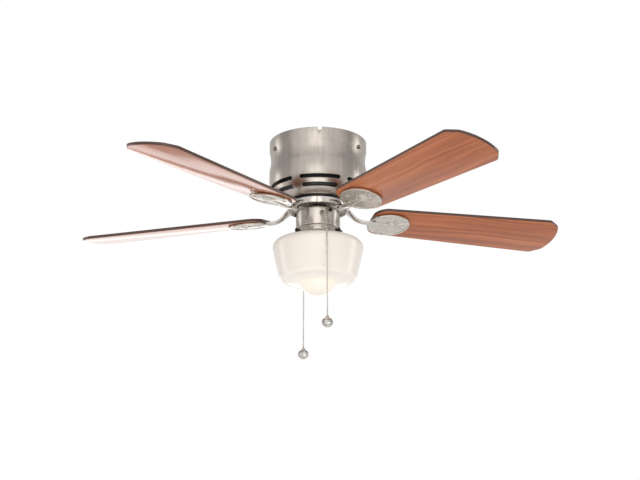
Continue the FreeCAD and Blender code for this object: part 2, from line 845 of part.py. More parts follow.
def arm_screws():
    low = flywheel_bottom - arm_plate_t
    head_low = low - arm_screw_head_t
    shank = cylinder(arm_screw_r, low, flywheel_bottom + flywheel_t / 2, arm_screw_ring_r)
    head = cylinder(arm_screw_head_r, head_low, low, arm_screw_ring_r)
    x0, x1 = arm_screw_ring_r - arm_screw_r, arm_screw_ring_r + arm_screw_r
    cross = block(x0, x1, -driver_slot / 2, driver_slot / 2, head_low - over, low - arm_screw_head_t / 2)
    screw = shank.fuse(head).removeSplitter().cut(cross)
    return group(*[turned(screw, a + s * arm_screw_angle) for a in blade_angles for s in (-1, 1)])


# ---- blades ---------------------------------------------------------------------------------

def blade_outline():
    tip_x, root_x = blade_tip_r, blade_root_r
    tip_half, root_half = blade_tip_width / 2, blade_root_width / 2
    shoulder_x = tip_x - tip_crown - tip_corner_length
    corner_x = tip_x - tip_crown
    corner_half = tip_half - tip_corner_width
    end_half = root_end_width / 2
    bend = (root_x + root_corner_length * 0.24, end_half + (root_half - end_half) * 0.64)
    return [
        (root_x, -end_half),
        ("arc", (bend[0], -bend[1]), (root_x + root_corner_length, -root_half)),
        (shoulder_x, -tip_half),
        (corner_x, -corner_half),
        ("arc", (tip_x, 0), (corner_x, corner_half)),
        (shoulder_x, tip_half),
        (root_x + root_corner_length, root_half),
        ("arc", (bend[0], bend[1]), (root_x, end_half)),
    ]


def blade(angle):
    half = blade_t / 2
    body = flat(blade_outline(), -half, half)
    tip_start = blade_tip_r - tip_crown - tip_corner_length - over
    upright = [
        e for e in body.Edges
        if abs(e.Vertexes[0].Point.z - e.Vertexes[-1].Point.z) > half and e.Vertexes[0].Point.x > tip_start
    ]
    body = body.makeFillet(tip_corner_round, upright)
    for x, y in blade_screw_places:
        body = body.cut(cylinder(blade_screw_r + fit_gap, -half - over, half + over, pad_root_r + x, y))
    return turned(pitched(body), angle)


def blade_screws():
    top = blade_t / 2
    head_top = top + blade_screw_head_t
    screws = []
    for x, y in blade_screw_places:
        px = pad_root_r + x
        head = cylinder(blade_screw_head_r, top, head_top, px, y)
        x0, x1 = px - blade_screw_head_r + over, px + blade_screw_head_r - over
        y0, y1 = y - driver_slot / 2, y + driver_slot / 2
        cross = block(x0, x1, y0, y1, head_top - blade_screw_head_t / 2, head_top + over)
        shank = cylinder(blade_screw_r, -pad_top - pad_t, top, px, y)
        screws.append(head.cut(cross).fuse(shank).removeSplitter())
    return group(*[turned(pitched(s), a) for a in blade_angles for s in screws])


def blade_washers():
    bore = blade_screw_r + fit_gap
    rings = [ring(washer_r, bore, -pad_top, -blade_t / 2, pad_root_r + x, y) for x, y in blade_screw_places]
    return group(*[turned(pitched(r), a) for a in blade_angles for r in rings])


# ---- switch housing ----------------------------------------------------------------------------

def switch_plate():
    """The round plate on the shaft that carries the switch housing, flanged for its screws."""
    body = ring(plate_r, shaft_r + fit_gap, switch_top - plate_t, switch_top)
    body = body.fuse(ring(plate_r, plate_r - plate_t, switch_top - plate_flange, switch_top))
    x0, x1 = plate_r - plate_t * 3, plate_r + over
    for angle in side_screw_angles:
        body = body.cut(turned(radial_cylinder(side_screw_r + fit_gap, x0, x1, side_screw_z), angle))
    half = switch_box_width / 2 + over
    window = block(x0, x1, -half, half, switch_top - plate_flange - over, switch_top - plate_t - run_gap)
    for angle in (speed_angle, light_angle, reverse_angle):
        body = body.cut(turned(window, angle))
    return body.removeSplitter()


def switch_housing():
    x0, x1 = switch_r - 3 * switch_wall, switch_r + over
    body = ring(switch_r, switch_r - switch_wall, switch_bottom, switch_top)
    floor = ring(switch_r - switch_wall / 2, nipple_r + fit_gap, switch_bottom, switch_bottom + switch_wall)
    body = body.fuse(floor)
    for angle in side_screw_angles:
        body = body.cut(turned(radial_cylinder(side_screw_r + fit_gap, x0, x1, side_screw_z), angle))
    for angle in (speed_angle, light_angle):
        body = body.cut(turned(radial_cylinder(bushing_r + fit_gap, x0, x1, bushing_z), angle))
    z_mid = switch_top - reverse_drop + reverse_travel / 2
    half_w = knob_width / 2 + run_gap
    half_h = (knob_height + reverse_travel) / 2 + run_gap
    window = block(x0, x1, -half_w, half_w, z_mid - half_h, z_mid + half_h)
    return body.cut(turned(window, reverse_angle)).removeSplitter()


def inside_wall(width):
    """How far out a flat-faced box of this width reaches inside the round switch housing."""
    return math.sqrt((switch_r - switch_wall) ** 2 - (width / 2) ** 2) - run_gap


def switch_housing_screws():
    seat = cylinder(switch_r + fit_gap, switch_bottom, switch_top)
    screw = side_screw(switch_r, side_screw_reach, side_screw_z, side_screw_head_r, seat)
    return group(*around(screw, side_screw_angles))


def pull_switch(angle):
    """A rotary pull-chain switch: a moulded box against the wall, with its turning hub below."""
    x_out = inside_wall(switch_box_width)
    half, half_z = switch_box_width / 2, switch_box_height / 2
    z_low = bushing_z - half_z
    body = block(x_out - switch_box_depth, x_out, -half, half, z_low, bushing_z + half_z)
    hub = cylinder(switch_hub_r, z_low - 1.5 * over, bushing_z, x_out - switch_box_depth / 2)
    return turned(body.fuse(hub).removeSplitter(), angle)


def chain_bushings():
    """Nickel-plated threaded bushings that carry the chains out through the wall."""
    x_in, x_end = inside_wall(switch_box_width), switch_r + bushing_reach
    x_nose = x_end - bushing_nose
    flange_x = switch_r + run_gap / 2
    body = radial_cylinder(bushing_r, x_in, x_nose, bushing_z)
    body = body.fuse(radial_cylinder(bushing_flange_r, flange_x, flange_x + bushing_flange_t, bushing_z))
    nose = Part.makeCone(bushing_r, bushing_bore_r + over, bushing_nose, Vec(x_nose, 0, bushing_z), X_AXIS)
    body = body.fuse(nose).cut(radial_cylinder(bushing_bore_r, x_in - over, x_end + over, bushing_z))
    return group(*around(body.removeSplitter(), (speed_angle, light_angle)))


def reverse_switch():
    x_out = inside_wall(reverse_body_width)
    half = reverse_body_width / 2
    z_mid = switch_top - reverse_drop + reverse_travel / 2
    z_high = switch_top - plate_t - run_gap
    body = block(x_out - reverse_body_depth, x_out, -half, half, 2 * z_mid - z_high, z_high)
    pocket_w = knob_width / 2 + run_gap
    pocket_h = (knob_height + reverse_travel) / 2 + run_gap
    z0, z1 = z_mid - pocket_h, z_mid + pocket_h
    pocket = block(x_out - reverse_pocket, x_out + over, -pocket_w, pocket_w, z0, z1)
    return turned(body.cut(pocket), reverse_angle)


def reverse_knob():
    x_in = inside_wall(reverse_body_width) - reverse_pocket + run_gap
    half, half_z = knob_width / 2, knob_height / 2
    z_mid = switch_top - reverse_drop
    body = block(x_in, switch_r + knob_reach, -half, half, z_mid - half_z, z_mid + half_z)
    return turned(body, reverse_angle)


def run_capacitor():
    deep, wide, tall = capacitor_size
    x_in = shaft_flange_r
    z_low = switch_bottom + switch_wall + 2 * over
    body = block(x_in, x_in + deep, -wide / 2, wide / 2, z_low, z_low + tall)
    upright = [e for e in body.Edges if abs(e.Vertexes[0].Point.z - e.Vertexes[1].Point.z) > tall / 2]
    return turned(body.makeFillet(capacitor_round, upright), capacitor_angle)


# ---- light fitter, lamp and glass ------------------------------------------------------------------

def light_fitter():
    r, rim, foot = fitter_r, fitter_rim_t, fitter_bottom
    outline = [
        (nipple_r + fit_gap, fitter_top),
        (r - 2.0, fitter_top),
        ("arc", (r - 0.6, fitter_top - 0.6), (r, fitter_top - 2.0)),
        (r, foot + 2 * rim),
        (r + rim, foot + 1.5 * rim),
        ("arc", (r + 1.5 * rim, foot + rim), (r + rim, foot)),
        (fitter_inner_r, foot),
        (fitter_inner_r, fitter_top - fitter_wall),
        (nipple_r + fit_gap, fitter_top - fitter_wall),
    ]
    body = lathe(outline)
    hole = radial_cylinder(thumb_r + fit_gap, fitter_inner_r - over, r + over, thumb_z)
    for angle in thumb_angles:
        body = body.cut(turned(hole, angle))
    return body


thumb_angles = [thumb_phase + 360 / thumb_count * n for n in range(thumb_count)]


def thumb_screw(angle):
    """A knurled-head thumb screw whose tip bears on the glass neck."""
    tip = neck_r + thumb_tip_gap
    head_in = fitter_r + thumb_neck
    head_out = head_in + thumb_head_t
    body = radial_cylinder(thumb_r, tip, head_in + over, thumb_z)
    body = body.fuse(radial_cylinder(thumb_head_r, head_in, head_out, thumb_z)).removeSplitter()
    for n in range(knurl_count):
        turn = 2 * math.pi * n / knurl_count
        y, z = thumb_head_r * math.cos(turn), thumb_z + thumb_head_r * math.sin(turn)
        body = body.cut(radial_cylinder(knurl_r, head_in - over, head_out + over, z, y))
    return turned(body, angle)


def fitter_nipple():
    z_high = switch_bottom + switch_wall + nipple_nut_t + 2 * over
    return ring(nipple_r, nipple_bore_r, z_high - nipple_length, z_high)


def fitter_nuts():
    bore = nipple_r + fit_gap
    z_above, z_below = switch_bottom + switch_wall, fitter_top - fitter_wall
    upper = hexagon_nut(nipple_nut_r, z_above, z_above + nipple_nut_t, bore)
    lower = hexagon_nut(nipple_nut_r, z_below - nipple_nut_t, z_below, bore)
    return group(upper, lower)


def lamp_holder():
    body = cylinder(holder_r, holder_bottom, holder_top)
    rim_top = holder_bottom + holder_rim_h
    body = body.fuse(ring(holder_r + holder_rim_t, holder_r - over, holder_bottom, rim_top))
    body = body.cut(cylinder(holder_r - holder_wall, holder_bottom - over, holder_floor))
    return body.cut(cylinder(nipple_r + fit_gap, holder_floor - over, holder_top + over)).removeSplitter()


def lamp_cap():
    """Screw cap: threads as a stack of rounded rings, and the centre contact."""
    z_low, z_high = lamp_top - cap_height, lamp_top
    root_r = cap_r - cap_thread
    turns = int((cap_height - 6) / cap_pitch)
    outline = [(0, z_high), (cap_contact_r, z_high), (cap_contact_r, z_high - 1.2), (cap_r - 3, z_high - 3)]
    z = z_high - 4
    outline.append((root_r, z))
    for _ in range(turns):
        outline.append(("arc", (cap_r, z - cap_pitch / 2), (root_r, z - cap_pitch)))
        z -= cap_pitch
    outline += [(root_r, z_low), (0, z_low)]
    return lathe(outline)


def lamp_envelope():
    """A round bulb with a slightly hollow taper up to the cap."""
    z_high = lamp_top - cap_height
    centre = z_high - lamp_length + lamp_r
    knee = math.radians(lamp_knee)
    top_r, knee_r, knee_z = cap_r - cap_thread, lamp_r * math.sin(knee), centre + lamp_r * math.cos(knee)
    flank = ((top_r + knee_r) / 2 - lamp_flank, (z_high + knee_z) / 2)
    taper = lathe([(0, z_high), (top_r, z_high), ("arc", flank, (knee_r, knee_z)), (0, knee_z)])
    return Part.makeSphere(lamp_r, Vec(0, 0, centre)).fuse(taper).removeSplitter()


def glass_outline(offset):
    """Outside of the glass moved in by offset, from the neck down to the axis."""
    nub_side = (nub_r * 0.62 - offset * 0.4, nub_z - nub_height * 0.76 + offset)
    shoulder_foot = (neck_r + 10.0 - offset * 0.3, neck_bottom - 6.5 - offset)
    shoulder_knee = (glass_r - 15.0 - offset * 0.3, widest_z + 13.0 - offset)
    return [
        (neck_r - offset, neck_bottom),
        ("arc", (neck_r + 2.8 - offset * 0.7, neck_bottom - 4.4 - offset * 0.7), shoulder_foot),
        shoulder_knee,
        ("arc", (glass_r - 3.9 - offset * 0.8, widest_z + 8.6 - offset * 0.7), (glass_r - offset, widest_z)),
        (foot_r - offset, foot_z),
        ("arc", (foot_r - 1.7 - offset * 0.8, foot_z - foot_drop * 0.62 + offset * 0.5),
         (foot_r - 8.0 - offset * 0.4, foot_z - foot_drop + offset)),
        (nub_r - offset * 0.4, nub_z + offset),
        ("arc", nub_side, (pole_flat, glass_bottom + offset)),
        (0, glass_bottom + offset),
    ]


def glass_shade():
    outside = [(0, neck_top), (lip_r, neck_top), (lip_r, lip_bottom), (neck_r, lip_bottom)]
    outside += glass_outline(0.0)
    inside = [(0, neck_top + 1), (neck_r - glass_wall, neck_top + 1)] + glass_outline(glass_wall)
    return lathe(outside).cut(lathe(inside))


# ---- wiring ----------------------------------------------------------------------------------------

def supply_leads():
    """Three leads from the terminal block, over the nut and down the hollow shaft."""
    leads = []
    y_block = terminal_y - terminal_width / 2
    for n in range(3):
        angle = math.radians(90 + 120 * n)
        dx, dy = lead_spread * math.cos(angle), lead_spread * math.sin(angle)
        x = (n - 1) * terminal_pitch
        z_run = -bracket_t - terminal_height / 2 - lead_spread * n
        points = [
            Vec(x, y_block, z_run),
            Vec(x, y_block / 2, z_run),
            Vec(dx, dy, z_run - 0.5),
            Vec(dx, dy, shaft_bottom - 4),
        ]
        leads.append(tube(points, lead_r)[0])
    return group(*leads)


def lamp_leads():
    """Two leads from the switch housing, through the nipple, into the lamp holder."""
    z_high = switch_bottom + switch_wall + nipple_nut_t + 7
    half = lamp_lead_pitch / 2
    return group(*[cylinder(lead_r, lamp_top + 2, z_high, x, 0) for x in (-half, half)])


# ---- pull chains -------------------------------------------------------------------------------------

def chain_points(angle, end_z):
    route = chain_top + [(chain_top[-1][0], end_z)]
    turn = math.radians(angle)
    return [Vec(r * math.cos(turn), r * math.sin(turn), z) for r, z in route]


def chain_tube(name, angle, end_z):
    solid, length, radii = tube(chain_points(angle, end_z), chain_d / 2)
    expected = math.pi * (chain_d / 2) ** 2 * length
    rounded = [round(r, 1) for r in radii]
    print(f"{name}: {length:.1f} mm, radii {rounded}, volume ratio {solid.Volume / expected:.4f}")
    return solid


def chain_part(solid, upper):
    z0, z1 = (chain_split, 0.0) if upper else (-600.0, chain_split)
    return solid.common(block(-200, 200, -200, 200, z0, z1))


def pendant(angle, end_z):
    """A faceted metal ball with a small collar, hanging from the end of the chain."""
    body_top = end_z - pendant_collar_h
    low_z = body_top - pendant_height
    rings = []
    for k in range(5):
        lift = math.cos(math.pi * (0.12 + 0.76 * k / 4))
        rings.append((pendant_r * math.sqrt(1 - lift * lift), body_top - pendant_height / 2 * (1 - lift)))
    body = lathe([(0, body_top)] + rings + [(0, low_z)])
    turns = [2 * math.pi * n / pendant_facets for n in range(pendant_facets + 1)]
    corner_r = pendant_r * 0.985
    corners = [Vec(corner_r * math.cos(a), corner_r * math.sin(a), low_z - over) for a in turns]
    prism = Part.Face(Part.makePolygon(corners)).extrude(Vec(0, 0, pendant_height + 2 * over))
    collar = cylinder(pendant_collar_r, body_top - 2 * over, end_z)
    body = body.common(prism).fuse(collar).removeSplitter()
    body.translate(Vec(chain_top[-1][0], 0, 0))
    return turned(body, angle)


# ---- build -----------------------------------------------------------------------------------------------

def save(name, shape):
    solids = shape.Solids
    if not solids or any(not s.isValid() or s.Volume <= 0 for s in solids):
        raise RuntimeError(f"{name} is not made of valid solids")
    keep = solids[0] if len(solids) == 1 else Part.makeCompound(solids)
    keep.exportStep(f"parts/{name}.step")


def main():
    os.makedirs("parts", exist_ok=True)
    speed_chain = chain_tube("speed chain", speed_angle, speed_chain_end)
    light_chain = chain_tube("light chain", light_angle, light_chain_end)
    nodes = {
        "ceiling_bracket": ceiling_bracket(),
        "hanger_posts": hanger_posts(),
        "rubber_grommets": grommets(),
        "hanger_plate": hanger_plate(),
        "hanger_screws": hanger_screws(),
        "terminal_block": terminal_block(),
        "supply_leads": supply_leads(),
        "motor_shaft": motor_shaft(),
        "shaft_nuts": shaft_nuts(),
        "bearing_inner_rings": bearing_inner_rings(),
        "bearing_outer_rings": bearing_outer_rings(),
        "bearing_balls": bearing_balls(),
        "stator_core": stator_core(),
        "stator_windings": stator_windings(),
        "rotor_core": rotor_core(),
        "rotor_upper_cover": rotor_upper_cover(),
        "rotor_lower_cover": rotor_lower_cover(),
        "rotor_screws": rotor_screws(),
        "flywheel": flywheel(),
        "motor_housing": motor_housing(),
        "housing_screws": housing_screws(),
        "arm_screws": arm_screws(),
        "blade_screws": blade_screws(),
        "blade_washers": blade_washers(),
        "switch_plate": switch_plate(),
        "switch_housing": switch_housing(),
        "switch_housing_screws": switch_housing_screws(),
        "speed_switch": pull_switch(speed_angle),
        "light_switch": pull_switch(light_angle),
        "chain_bushings": chain_bushings(),
        "reverse_switch": reverse_switch(),
        "reverse_knob": reverse_knob(),
        "run_capacitor": run_capacitor(),
        "light_fitter": light_fitter(),
        "fitter_nipple": fitter_nipple(),
        "fitter_nuts": fitter_nuts(),
        "lamp_holder": lamp_holder(),
        "lamp_cap": lamp_cap(),
        "lamp_envelope": lamp_envelope(),
        "lamp_leads": lamp_leads(),
        "glass_shade": glass_shade(),
        "speed_chain_upper": chain_part(speed_chain, True),
        "speed_chain_lower": chain_part(speed_chain, False),
        "speed_pendant": pendant(speed_angle, speed_chain_end),
        "light_chain_upper": chain_part(light_chain, True),
        "light_chain_lower": chain_part(light_chain, False),
        "light_pendant": pendant(light_angle, light_chain_end),
    }
    for n, angle in enumerate(blade_angles, 1):
        nodes[f"blade_arm_{n}"] = blade_arm(angle)
        nodes[f"blade_{n}"] = blade(angle)
    for n, angle in enumerate(thumb_angles, 1):
        nodes[f"thumb_screw_{n}"] = thumb_screw(angle)
    for name, shape in nodes.items():
        save(name, shape)
    print(f"{len(nodes)} nodes, glass bottom {glass_bottom:.1f}, switch housing top {switch_top:.1f}")


if __name__ == "__main__":
    main()
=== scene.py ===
import json
import math

import bpy
from mathutils import Matrix, Vector

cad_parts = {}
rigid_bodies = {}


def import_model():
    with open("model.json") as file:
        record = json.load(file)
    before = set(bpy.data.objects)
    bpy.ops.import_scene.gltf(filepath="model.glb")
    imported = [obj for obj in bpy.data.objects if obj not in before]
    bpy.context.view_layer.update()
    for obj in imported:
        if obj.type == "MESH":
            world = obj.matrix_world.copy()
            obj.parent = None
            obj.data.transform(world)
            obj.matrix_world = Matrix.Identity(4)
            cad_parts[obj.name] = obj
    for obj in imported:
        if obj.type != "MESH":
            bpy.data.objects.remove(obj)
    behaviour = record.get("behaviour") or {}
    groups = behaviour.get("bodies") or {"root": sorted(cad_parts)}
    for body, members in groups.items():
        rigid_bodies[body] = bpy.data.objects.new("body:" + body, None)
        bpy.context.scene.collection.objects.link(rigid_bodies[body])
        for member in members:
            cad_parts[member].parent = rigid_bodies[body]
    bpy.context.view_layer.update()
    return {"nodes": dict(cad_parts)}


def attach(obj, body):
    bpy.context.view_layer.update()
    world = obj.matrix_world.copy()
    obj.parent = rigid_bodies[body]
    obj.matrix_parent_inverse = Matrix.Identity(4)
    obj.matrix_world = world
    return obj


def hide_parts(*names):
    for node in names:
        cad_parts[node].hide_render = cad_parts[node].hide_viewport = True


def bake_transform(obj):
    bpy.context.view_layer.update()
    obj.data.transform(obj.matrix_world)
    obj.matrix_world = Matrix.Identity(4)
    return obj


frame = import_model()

mm = 0.001
turn = math.tau


# ---- camera and light ---------------------------------------------------------------

view = {"aim": (4.2, 0, -212.3), "distance": 3381, "lookUp": 17.6, "lens": 91.6, "floorDrop": 2350}


def addCamera():
    tilt = math.radians(view["lookUp"])
    aim = Vector(view["aim"]) * mm
    back = Vector((0, -math.cos(tilt), -math.sin(tilt)))
    bpy.ops.object.camera_add(location=aim + back * view["distance"] * mm, rotation=(turn / 4 + tilt, 0, 0))
    camera = bpy.context.object
    camera.data.lens = view["lens"]
    camera.data.sensor_width = 36
    camera.data.clip_end = 100
    bpy.context.scene.camera = camera


softboxes = {
    "frontBox": {"place": (-0.3, -3.4, 0.2), "size": (2.2, 1.8), "watts": 11, "tint": (1, 0.98, 0.96)},
    "leftBox": {"place": (-3.0, 0.9, -0.2), "size": (0.8, 2.2), "watts": 10, "tint": (1, 1, 1)},
    "rightBox": {"place": (3.0, 0.6, -0.2), "size": (0.8, 2.2), "watts": 12, "tint": (1, 0.99, 0.97)},
    "lowBox": {"place": (0.2, -2.0, -1.9), "size": (2.4, 1.6), "watts": 16, "tint": (1, 0.98, 0.95)},
}


def addLights():
    target = Vector((0, 0, -0.15))
    for name, facts in softboxes.items():
        place = Vector(facts["place"])
        aimed = (target - place).to_track_quat("-Z", "Y").to_euler()
        bpy.ops.object.light_add(type="AREA", location=place, rotation=aimed)
        light = bpy.context.object
        light.name = name
        light.data.shape = "RECTANGLE"
        light.data.size, light.data.size_y = facts["size"]
        light.data.energy = facts["watts"]
        light.data.color = facts["tint"]


# ---- shader helpers -----------------------------------------------------------------

class Wire:
    # one value on its way through a material: sums and products of it add the Math nodes
    def __init__(self, maker, socket):
        self.maker, self.socket = maker, socket

    def math(self, operation, first, second):
        return self.maker.node("ShaderNodeMath", {"operation": operation}, {0: first, 1: second})

    def __add__(self, other):
        return self.math("ADD", self, other)

    def __radd__(self, other):
        return self.math("ADD", other, self)

    def __sub__(self, other):
        return self.math("SUBTRACT", self, other)

    def __rsub__(self, other):
        return self.math("SUBTRACT", other, self)

    def __mul__(self, other):
        return self.math("MULTIPLY", self, other)

    def __rmul__(self, other):
        return self.math("MULTIPLY", other, self)

    def __truediv__(self, other):
        return self.math("DIVIDE", self, other)

    def __pow__(self, other):
        return self.math("POWER", self, other)


class Finish:
    def __init__(self, name, **constants):
        self.material = bpy.data.materials.new(name)
        self.material.use_nodes = True
        self.tree = self.material.node_tree
        self.shader = self.tree.nodes["Principled BSDF"]
        for socket, value in constants.items():
            self.shader.inputs[socket.replace("_", " ")].default_value = value

    def node(self, kind, settings=None, values=None, out=0):
        made = self.tree.nodes.new(kind)
        for key, value in (settings or {}).items():
            if key == "stops":
                self.setStops(made.color_ramp, value)
            else:
                setattr(made, key, value)
        for key, value in (values or {}).items():
            self.put(made.inputs[key], value)
        return Wire(self, made.outputs[out])

    def setStops(self, ramp, stops):
        while len(ramp.elements) < len(stops):
            ramp.elements.new(0.5)
        for element, (place, colour) in zip(ramp.elements, stops):
            element.position, element.color = place, (*colour, 1)

    def put(self, socket, value):
        if isinstance(value, Wire):
            self.tree.links.new(value.socket, socket)
        else:
            socket.default_value = value

    def feed(self, **sockets):
        for name, value in sockets.items():
            self.put(self.shader.inputs[name.replace("_", " ")], value)
        return self

    def place(self, scale=(1, 1, 1), uv=False, turned=(0, 0, 0)):
        grain = self.node("ShaderNodeUVMap", {"uv_map": "grain"}) if uv else None
        start = grain or self.node("ShaderNodeTexCoord", out="Object")
        values = {"Vector": start, "Scale": scale, "Rotation": turned}
        return self.node("ShaderNodeMapping", values=values)

    def noise(self, where, scale, detail=3.0, rough=0.55):
        values = {"Vector": where, "Scale": scale, "Detail": detail, "Roughness": rough}
        return self.node("ShaderNodeTexNoise", values=values)

    def ramp(self, factor, stops):
        return self.node("ShaderNodeValToRGB", {"stops": stops}, {"Fac": factor})

    def span(self, value, low, high, start=0.0, end=1.0):
        values = {"Value": value, "From Min": low, "From Max": high, "To Min": start, "To Max": end}
        return self.node("ShaderNodeMapRange", {"interpolation_type": "SMOOTHSTEP"}, values)

    def mix(self, factor, first, second, blend="MIX"):
        settings = {"data_type": "RGBA", "blend_type": blend}
        made = self.node("ShaderNodeMix", settings, out=2)
        inputs = made.socket.node.inputs
        for socket, value in ((inputs[0], factor), (inputs[6], first), (inputs[7], second)):
            self.put(socket, value if isinstance(value, (Wire, float, int)) else (*value, 1))
        return made

    def bump(self, height, strength, distance):
        values = {"Height": height, "Strength": strength, "Distance": distance}
        return self.node("ShaderNodeBump", values=values)


# ---- finishes -----------------------------------------------------------------------

def brushedNickel(name, tone, shade, roughness=0.3):
    # fine upright brush lines, cloudy plating, a little darker where hands and dust settle
    f = Finish(name, Metallic=1.0)
    lines = f.noise(f.place((1, 1, 0.012)), 900, 2.0)
    wide = f.noise(f.place((1, 1, 0.05)), 130, 3.0)
    cloud = f.noise(f.place(), 26, 4.0)
    mask = lines * 0.45 + wide * 0.35 + cloud * 0.2
    colour = f.mix(f.span(mask, 0.36, 0.64), shade, tone)
    f.feed(Base_Color=colour, Roughness=lines * 0.16 + cloud * 0.08 + (roughness - 0.12))
    return f.feed(Normal=f.bump(lines + wide * 0.6, 0.1, 0.0004)).material


def polishedNickel(name, tone, shade, roughness=0.16):
    # cast, then polished: soft waviness, faint scratches all ways and dull low spots
    f = Finish(name, Metallic=1.0)
    waves = f.noise(f.place(), 45, 2.0)
    dull = f.noise(f.place(), 130, 3.0, 0.6)
    scratch = f.noise(f.place((1, 6, 6), turned=(0.5, 0.9, 0.3)), 120, 2.0)
    colour = f.mix(f.span(dull, 0.38, 0.66), tone, shade)
    f.feed(Base_Color=colour, Roughness=dull * 0.06 + scratch * 0.05 + (roughness - 0.05))
    return f.feed(Normal=f.bump(waves, 0.06, 0.0008)).material


# grain tones, and under edge a near-black used as painted shade on the blade's side faces
woodTones = {
    "light": (0.53, 0.165, 0.058), "middle": (0.395, 0.109, 0.034), "dark": (0.25, 0.062, 0.018),
    "edge": (0.085, 0.045, 0.033),
}


def cherryWood(name):
    # grain runs out along the blade; the lacquer fills all but the open pores
    f = Finish(name, Coat_Weight=1.0, Coat_Roughness=0.12, Coat_IOR=1.46, Specular_IOR_Level=0.0)
    bend = f.noise(f.place((3, 10, 1), uv=True), 1.0, 3.0)
    spread = f.node("ShaderNodeCombineXYZ", values={"Y": bend * 0.045})
    base = f.place((1, 1, 1), uv=True)
    grainAt = f.node("ShaderNodeVectorMath", {"operation": "ADD"}, {0: base, 1: spread})
    long = f.node("ShaderNodeMapping", values={"Vector": grainAt, "Scale": (1.1, 46, 1)})
    rings = f.noise(long, 1.6, 5.0, 0.6)
    fine = f.noise(f.node("ShaderNodeMapping", values={"Vector": grainAt, "Scale": (9, 900, 1)}), 1.0, 3.0)
    pores = f.span(f.noise(f.place((34, 1500, 1), uv=True), 1.0, 1.0), 0.62, 0.72)
    cloud = f.noise(f.place((2.2, 7, 1), uv=True), 1.0, 2.0)
    tone = rings * 0.6 + fine * 0.22 + cloud * 0.3
    stops = [(0.44, woodTones["dark"]), (0.56, woodTones["middle"]), (0.68, woodTones["light"])]
    grain = f.ramp(tone, stops)
    darkened = f.mix(pores * 0.4, grain, woodTones["dark"])
    # the side faces take the edge colour: painted shade along the blade's thickness
    rim = f.node("ShaderNodeAttribute", {"attribute_name": "rim"}, out="Fac")
    colour = f.mix(rim, darkened, woodTones["edge"])
    f.feed(Base_Color=colour, Roughness=fine * 0.12 + pores * 0.1 + 0.26)
    return f.feed(Normal=f.bump(fine * 0.35 - pores, 0.05, 0.0002)).material


lampGlow = {"place": (0, 0, -268), "warm": (1.0, 0.84, 0.46), "cool": (0.86, 0.76, 0.66)}


def opalGlass(name):
    # white flashed glass with a satin skin; the lamp shows as a painted warm glow pooled low in the bowl, over a
    # faint painted glow on all the glass
    f = Finish(name, IOR=1.5, Coat_Weight=0.3, Coat_Roughness=0.12, Emission_Strength=0.6)
    here = f.node("ShaderNodeTexCoord", out="Object")
    lamp = tuple(v * mm for v in lampGlow["place"])
    far = f.node("ShaderNodeVectorMath", {"operation": "DISTANCE"}, {0: here, 1: lamp}, out="Value")
    depth = f.node("ShaderNodeSeparateXYZ", values={0: here}, out="Z")
    pool = f.span(depth, -0.284, -0.318) * f.span(far, 0.080, 0.03)
    seeds = f.noise(f.place(), 900, 2.0)
    swirl = f.noise(f.place((1, 1, 2)), 14, 3.0)
    skin = f.mix(swirl, (0.86, 0.79, 0.715), (0.90, 0.835, 0.765))
    warmth = f.mix(f.span(pool, 0.0, 0.5), lampGlow["cool"], lampGlow["warm"])
    # painted glow: emission pooled near the lamp's place, and a faint glow elsewhere that varies a little with the
    # swirl
    paintedGlow = f.mix(pool * 0.5 + 0.02 + (swirl - 0.5) * 0.03, (0, 0, 0), warmth)
    f.feed(Base_Color=skin, Emission_Color=paintedGlow, Roughness=seeds * 0.12 + swirl * 0.06 + 0.2)
    return f.feed(Normal=f.bump(seeds, 0.03, 0.0002)).material


def stampedSteel(name, tone, roughness=0.38, metallic=1.0):
    # zinc spangle over rolled sheet
    f = Finish(name, Metallic=metallic)
    spangle = f.node("ShaderNodeTexVoronoi", {}, {"Vector": f.place(), "Scale": 190.0}, out="Color")
    grey = f.node("ShaderNodeRGBToBW", values={0: spangle})
    rolled = f.noise(f.place((1, 14, 1)), 160, 3.0)
    dark = tuple(v * 0.72 for v in tone)
    f.feed(Base_Color=f.mix(f.span(grey * 0.6 + rolled * 0.4, 0.2, 0.8), dark, tone))
    f.feed(Roughness=grey * 0.12 + rolled * 0.1 + (roughness - 0.1))
    return f.feed(Normal=f.bump(rolled, 0.08, 0.0003)).material


def darkScrewSteel(name):
    # black oxide, rubbed brighter where it is handled
    f = Finish(name, Metallic=0.85)
    wear = f.span(f.noise(f.place(), 700, 4.0, 0.7), 0.5, 0.75)
    pits = f.noise(f.place(), 2600, 2.0)
    f.feed(Base_Color=f.mix(wear, (0.028, 0.024, 0.021), (0.13, 0.115, 0.10)), Roughness=pits * 0.2 + 0.28)
    return f.feed(Normal=f.bump(pits, 0.12, 0.0002)).material


def castAlloy(name, tone, roughness=0.55):
    # sand-cast skin with machined bands
    f = Finish(name, Metallic=0.9)
    skin = f.noise(f.place(), 900, 4.0, 0.7)
    stain = f.noise(f.place(), 40, 3.0)
    dark = tuple(v * 0.6 for v in tone)
    f.feed(Base_Color=f.mix(f.span(stain, 0.35, 0.7), dark, tone), Roughness=skin * 0.2 + (roughness - 0.1))
    return f.feed(Normal=f.bump(skin, 0.3, 0.0004)).material


def laminatedSteel(name):
    # edges of half-millimetre sheets, varnished
    f = Finish(name, Metallic=0.8)
    layers = f.node("ShaderNodeTexWave", {"bands_direction": "Z"}, {"Vector": f.place(), "Scale": 320.0, "Distortion": 0.4})
    stain = f.noise(f.place(), 90, 3.0)
    mask = layers * 0.6 + stain * 0.4
    f.feed(Base_Color=f.mix(mask, (0.05, 0.052, 0.058), (0.2, 0.2, 0.21)), Roughness=stain * 0.2 + 0.35)
    return f.feed(Normal=f.bump(layers, 0.35, 0.0003)).material


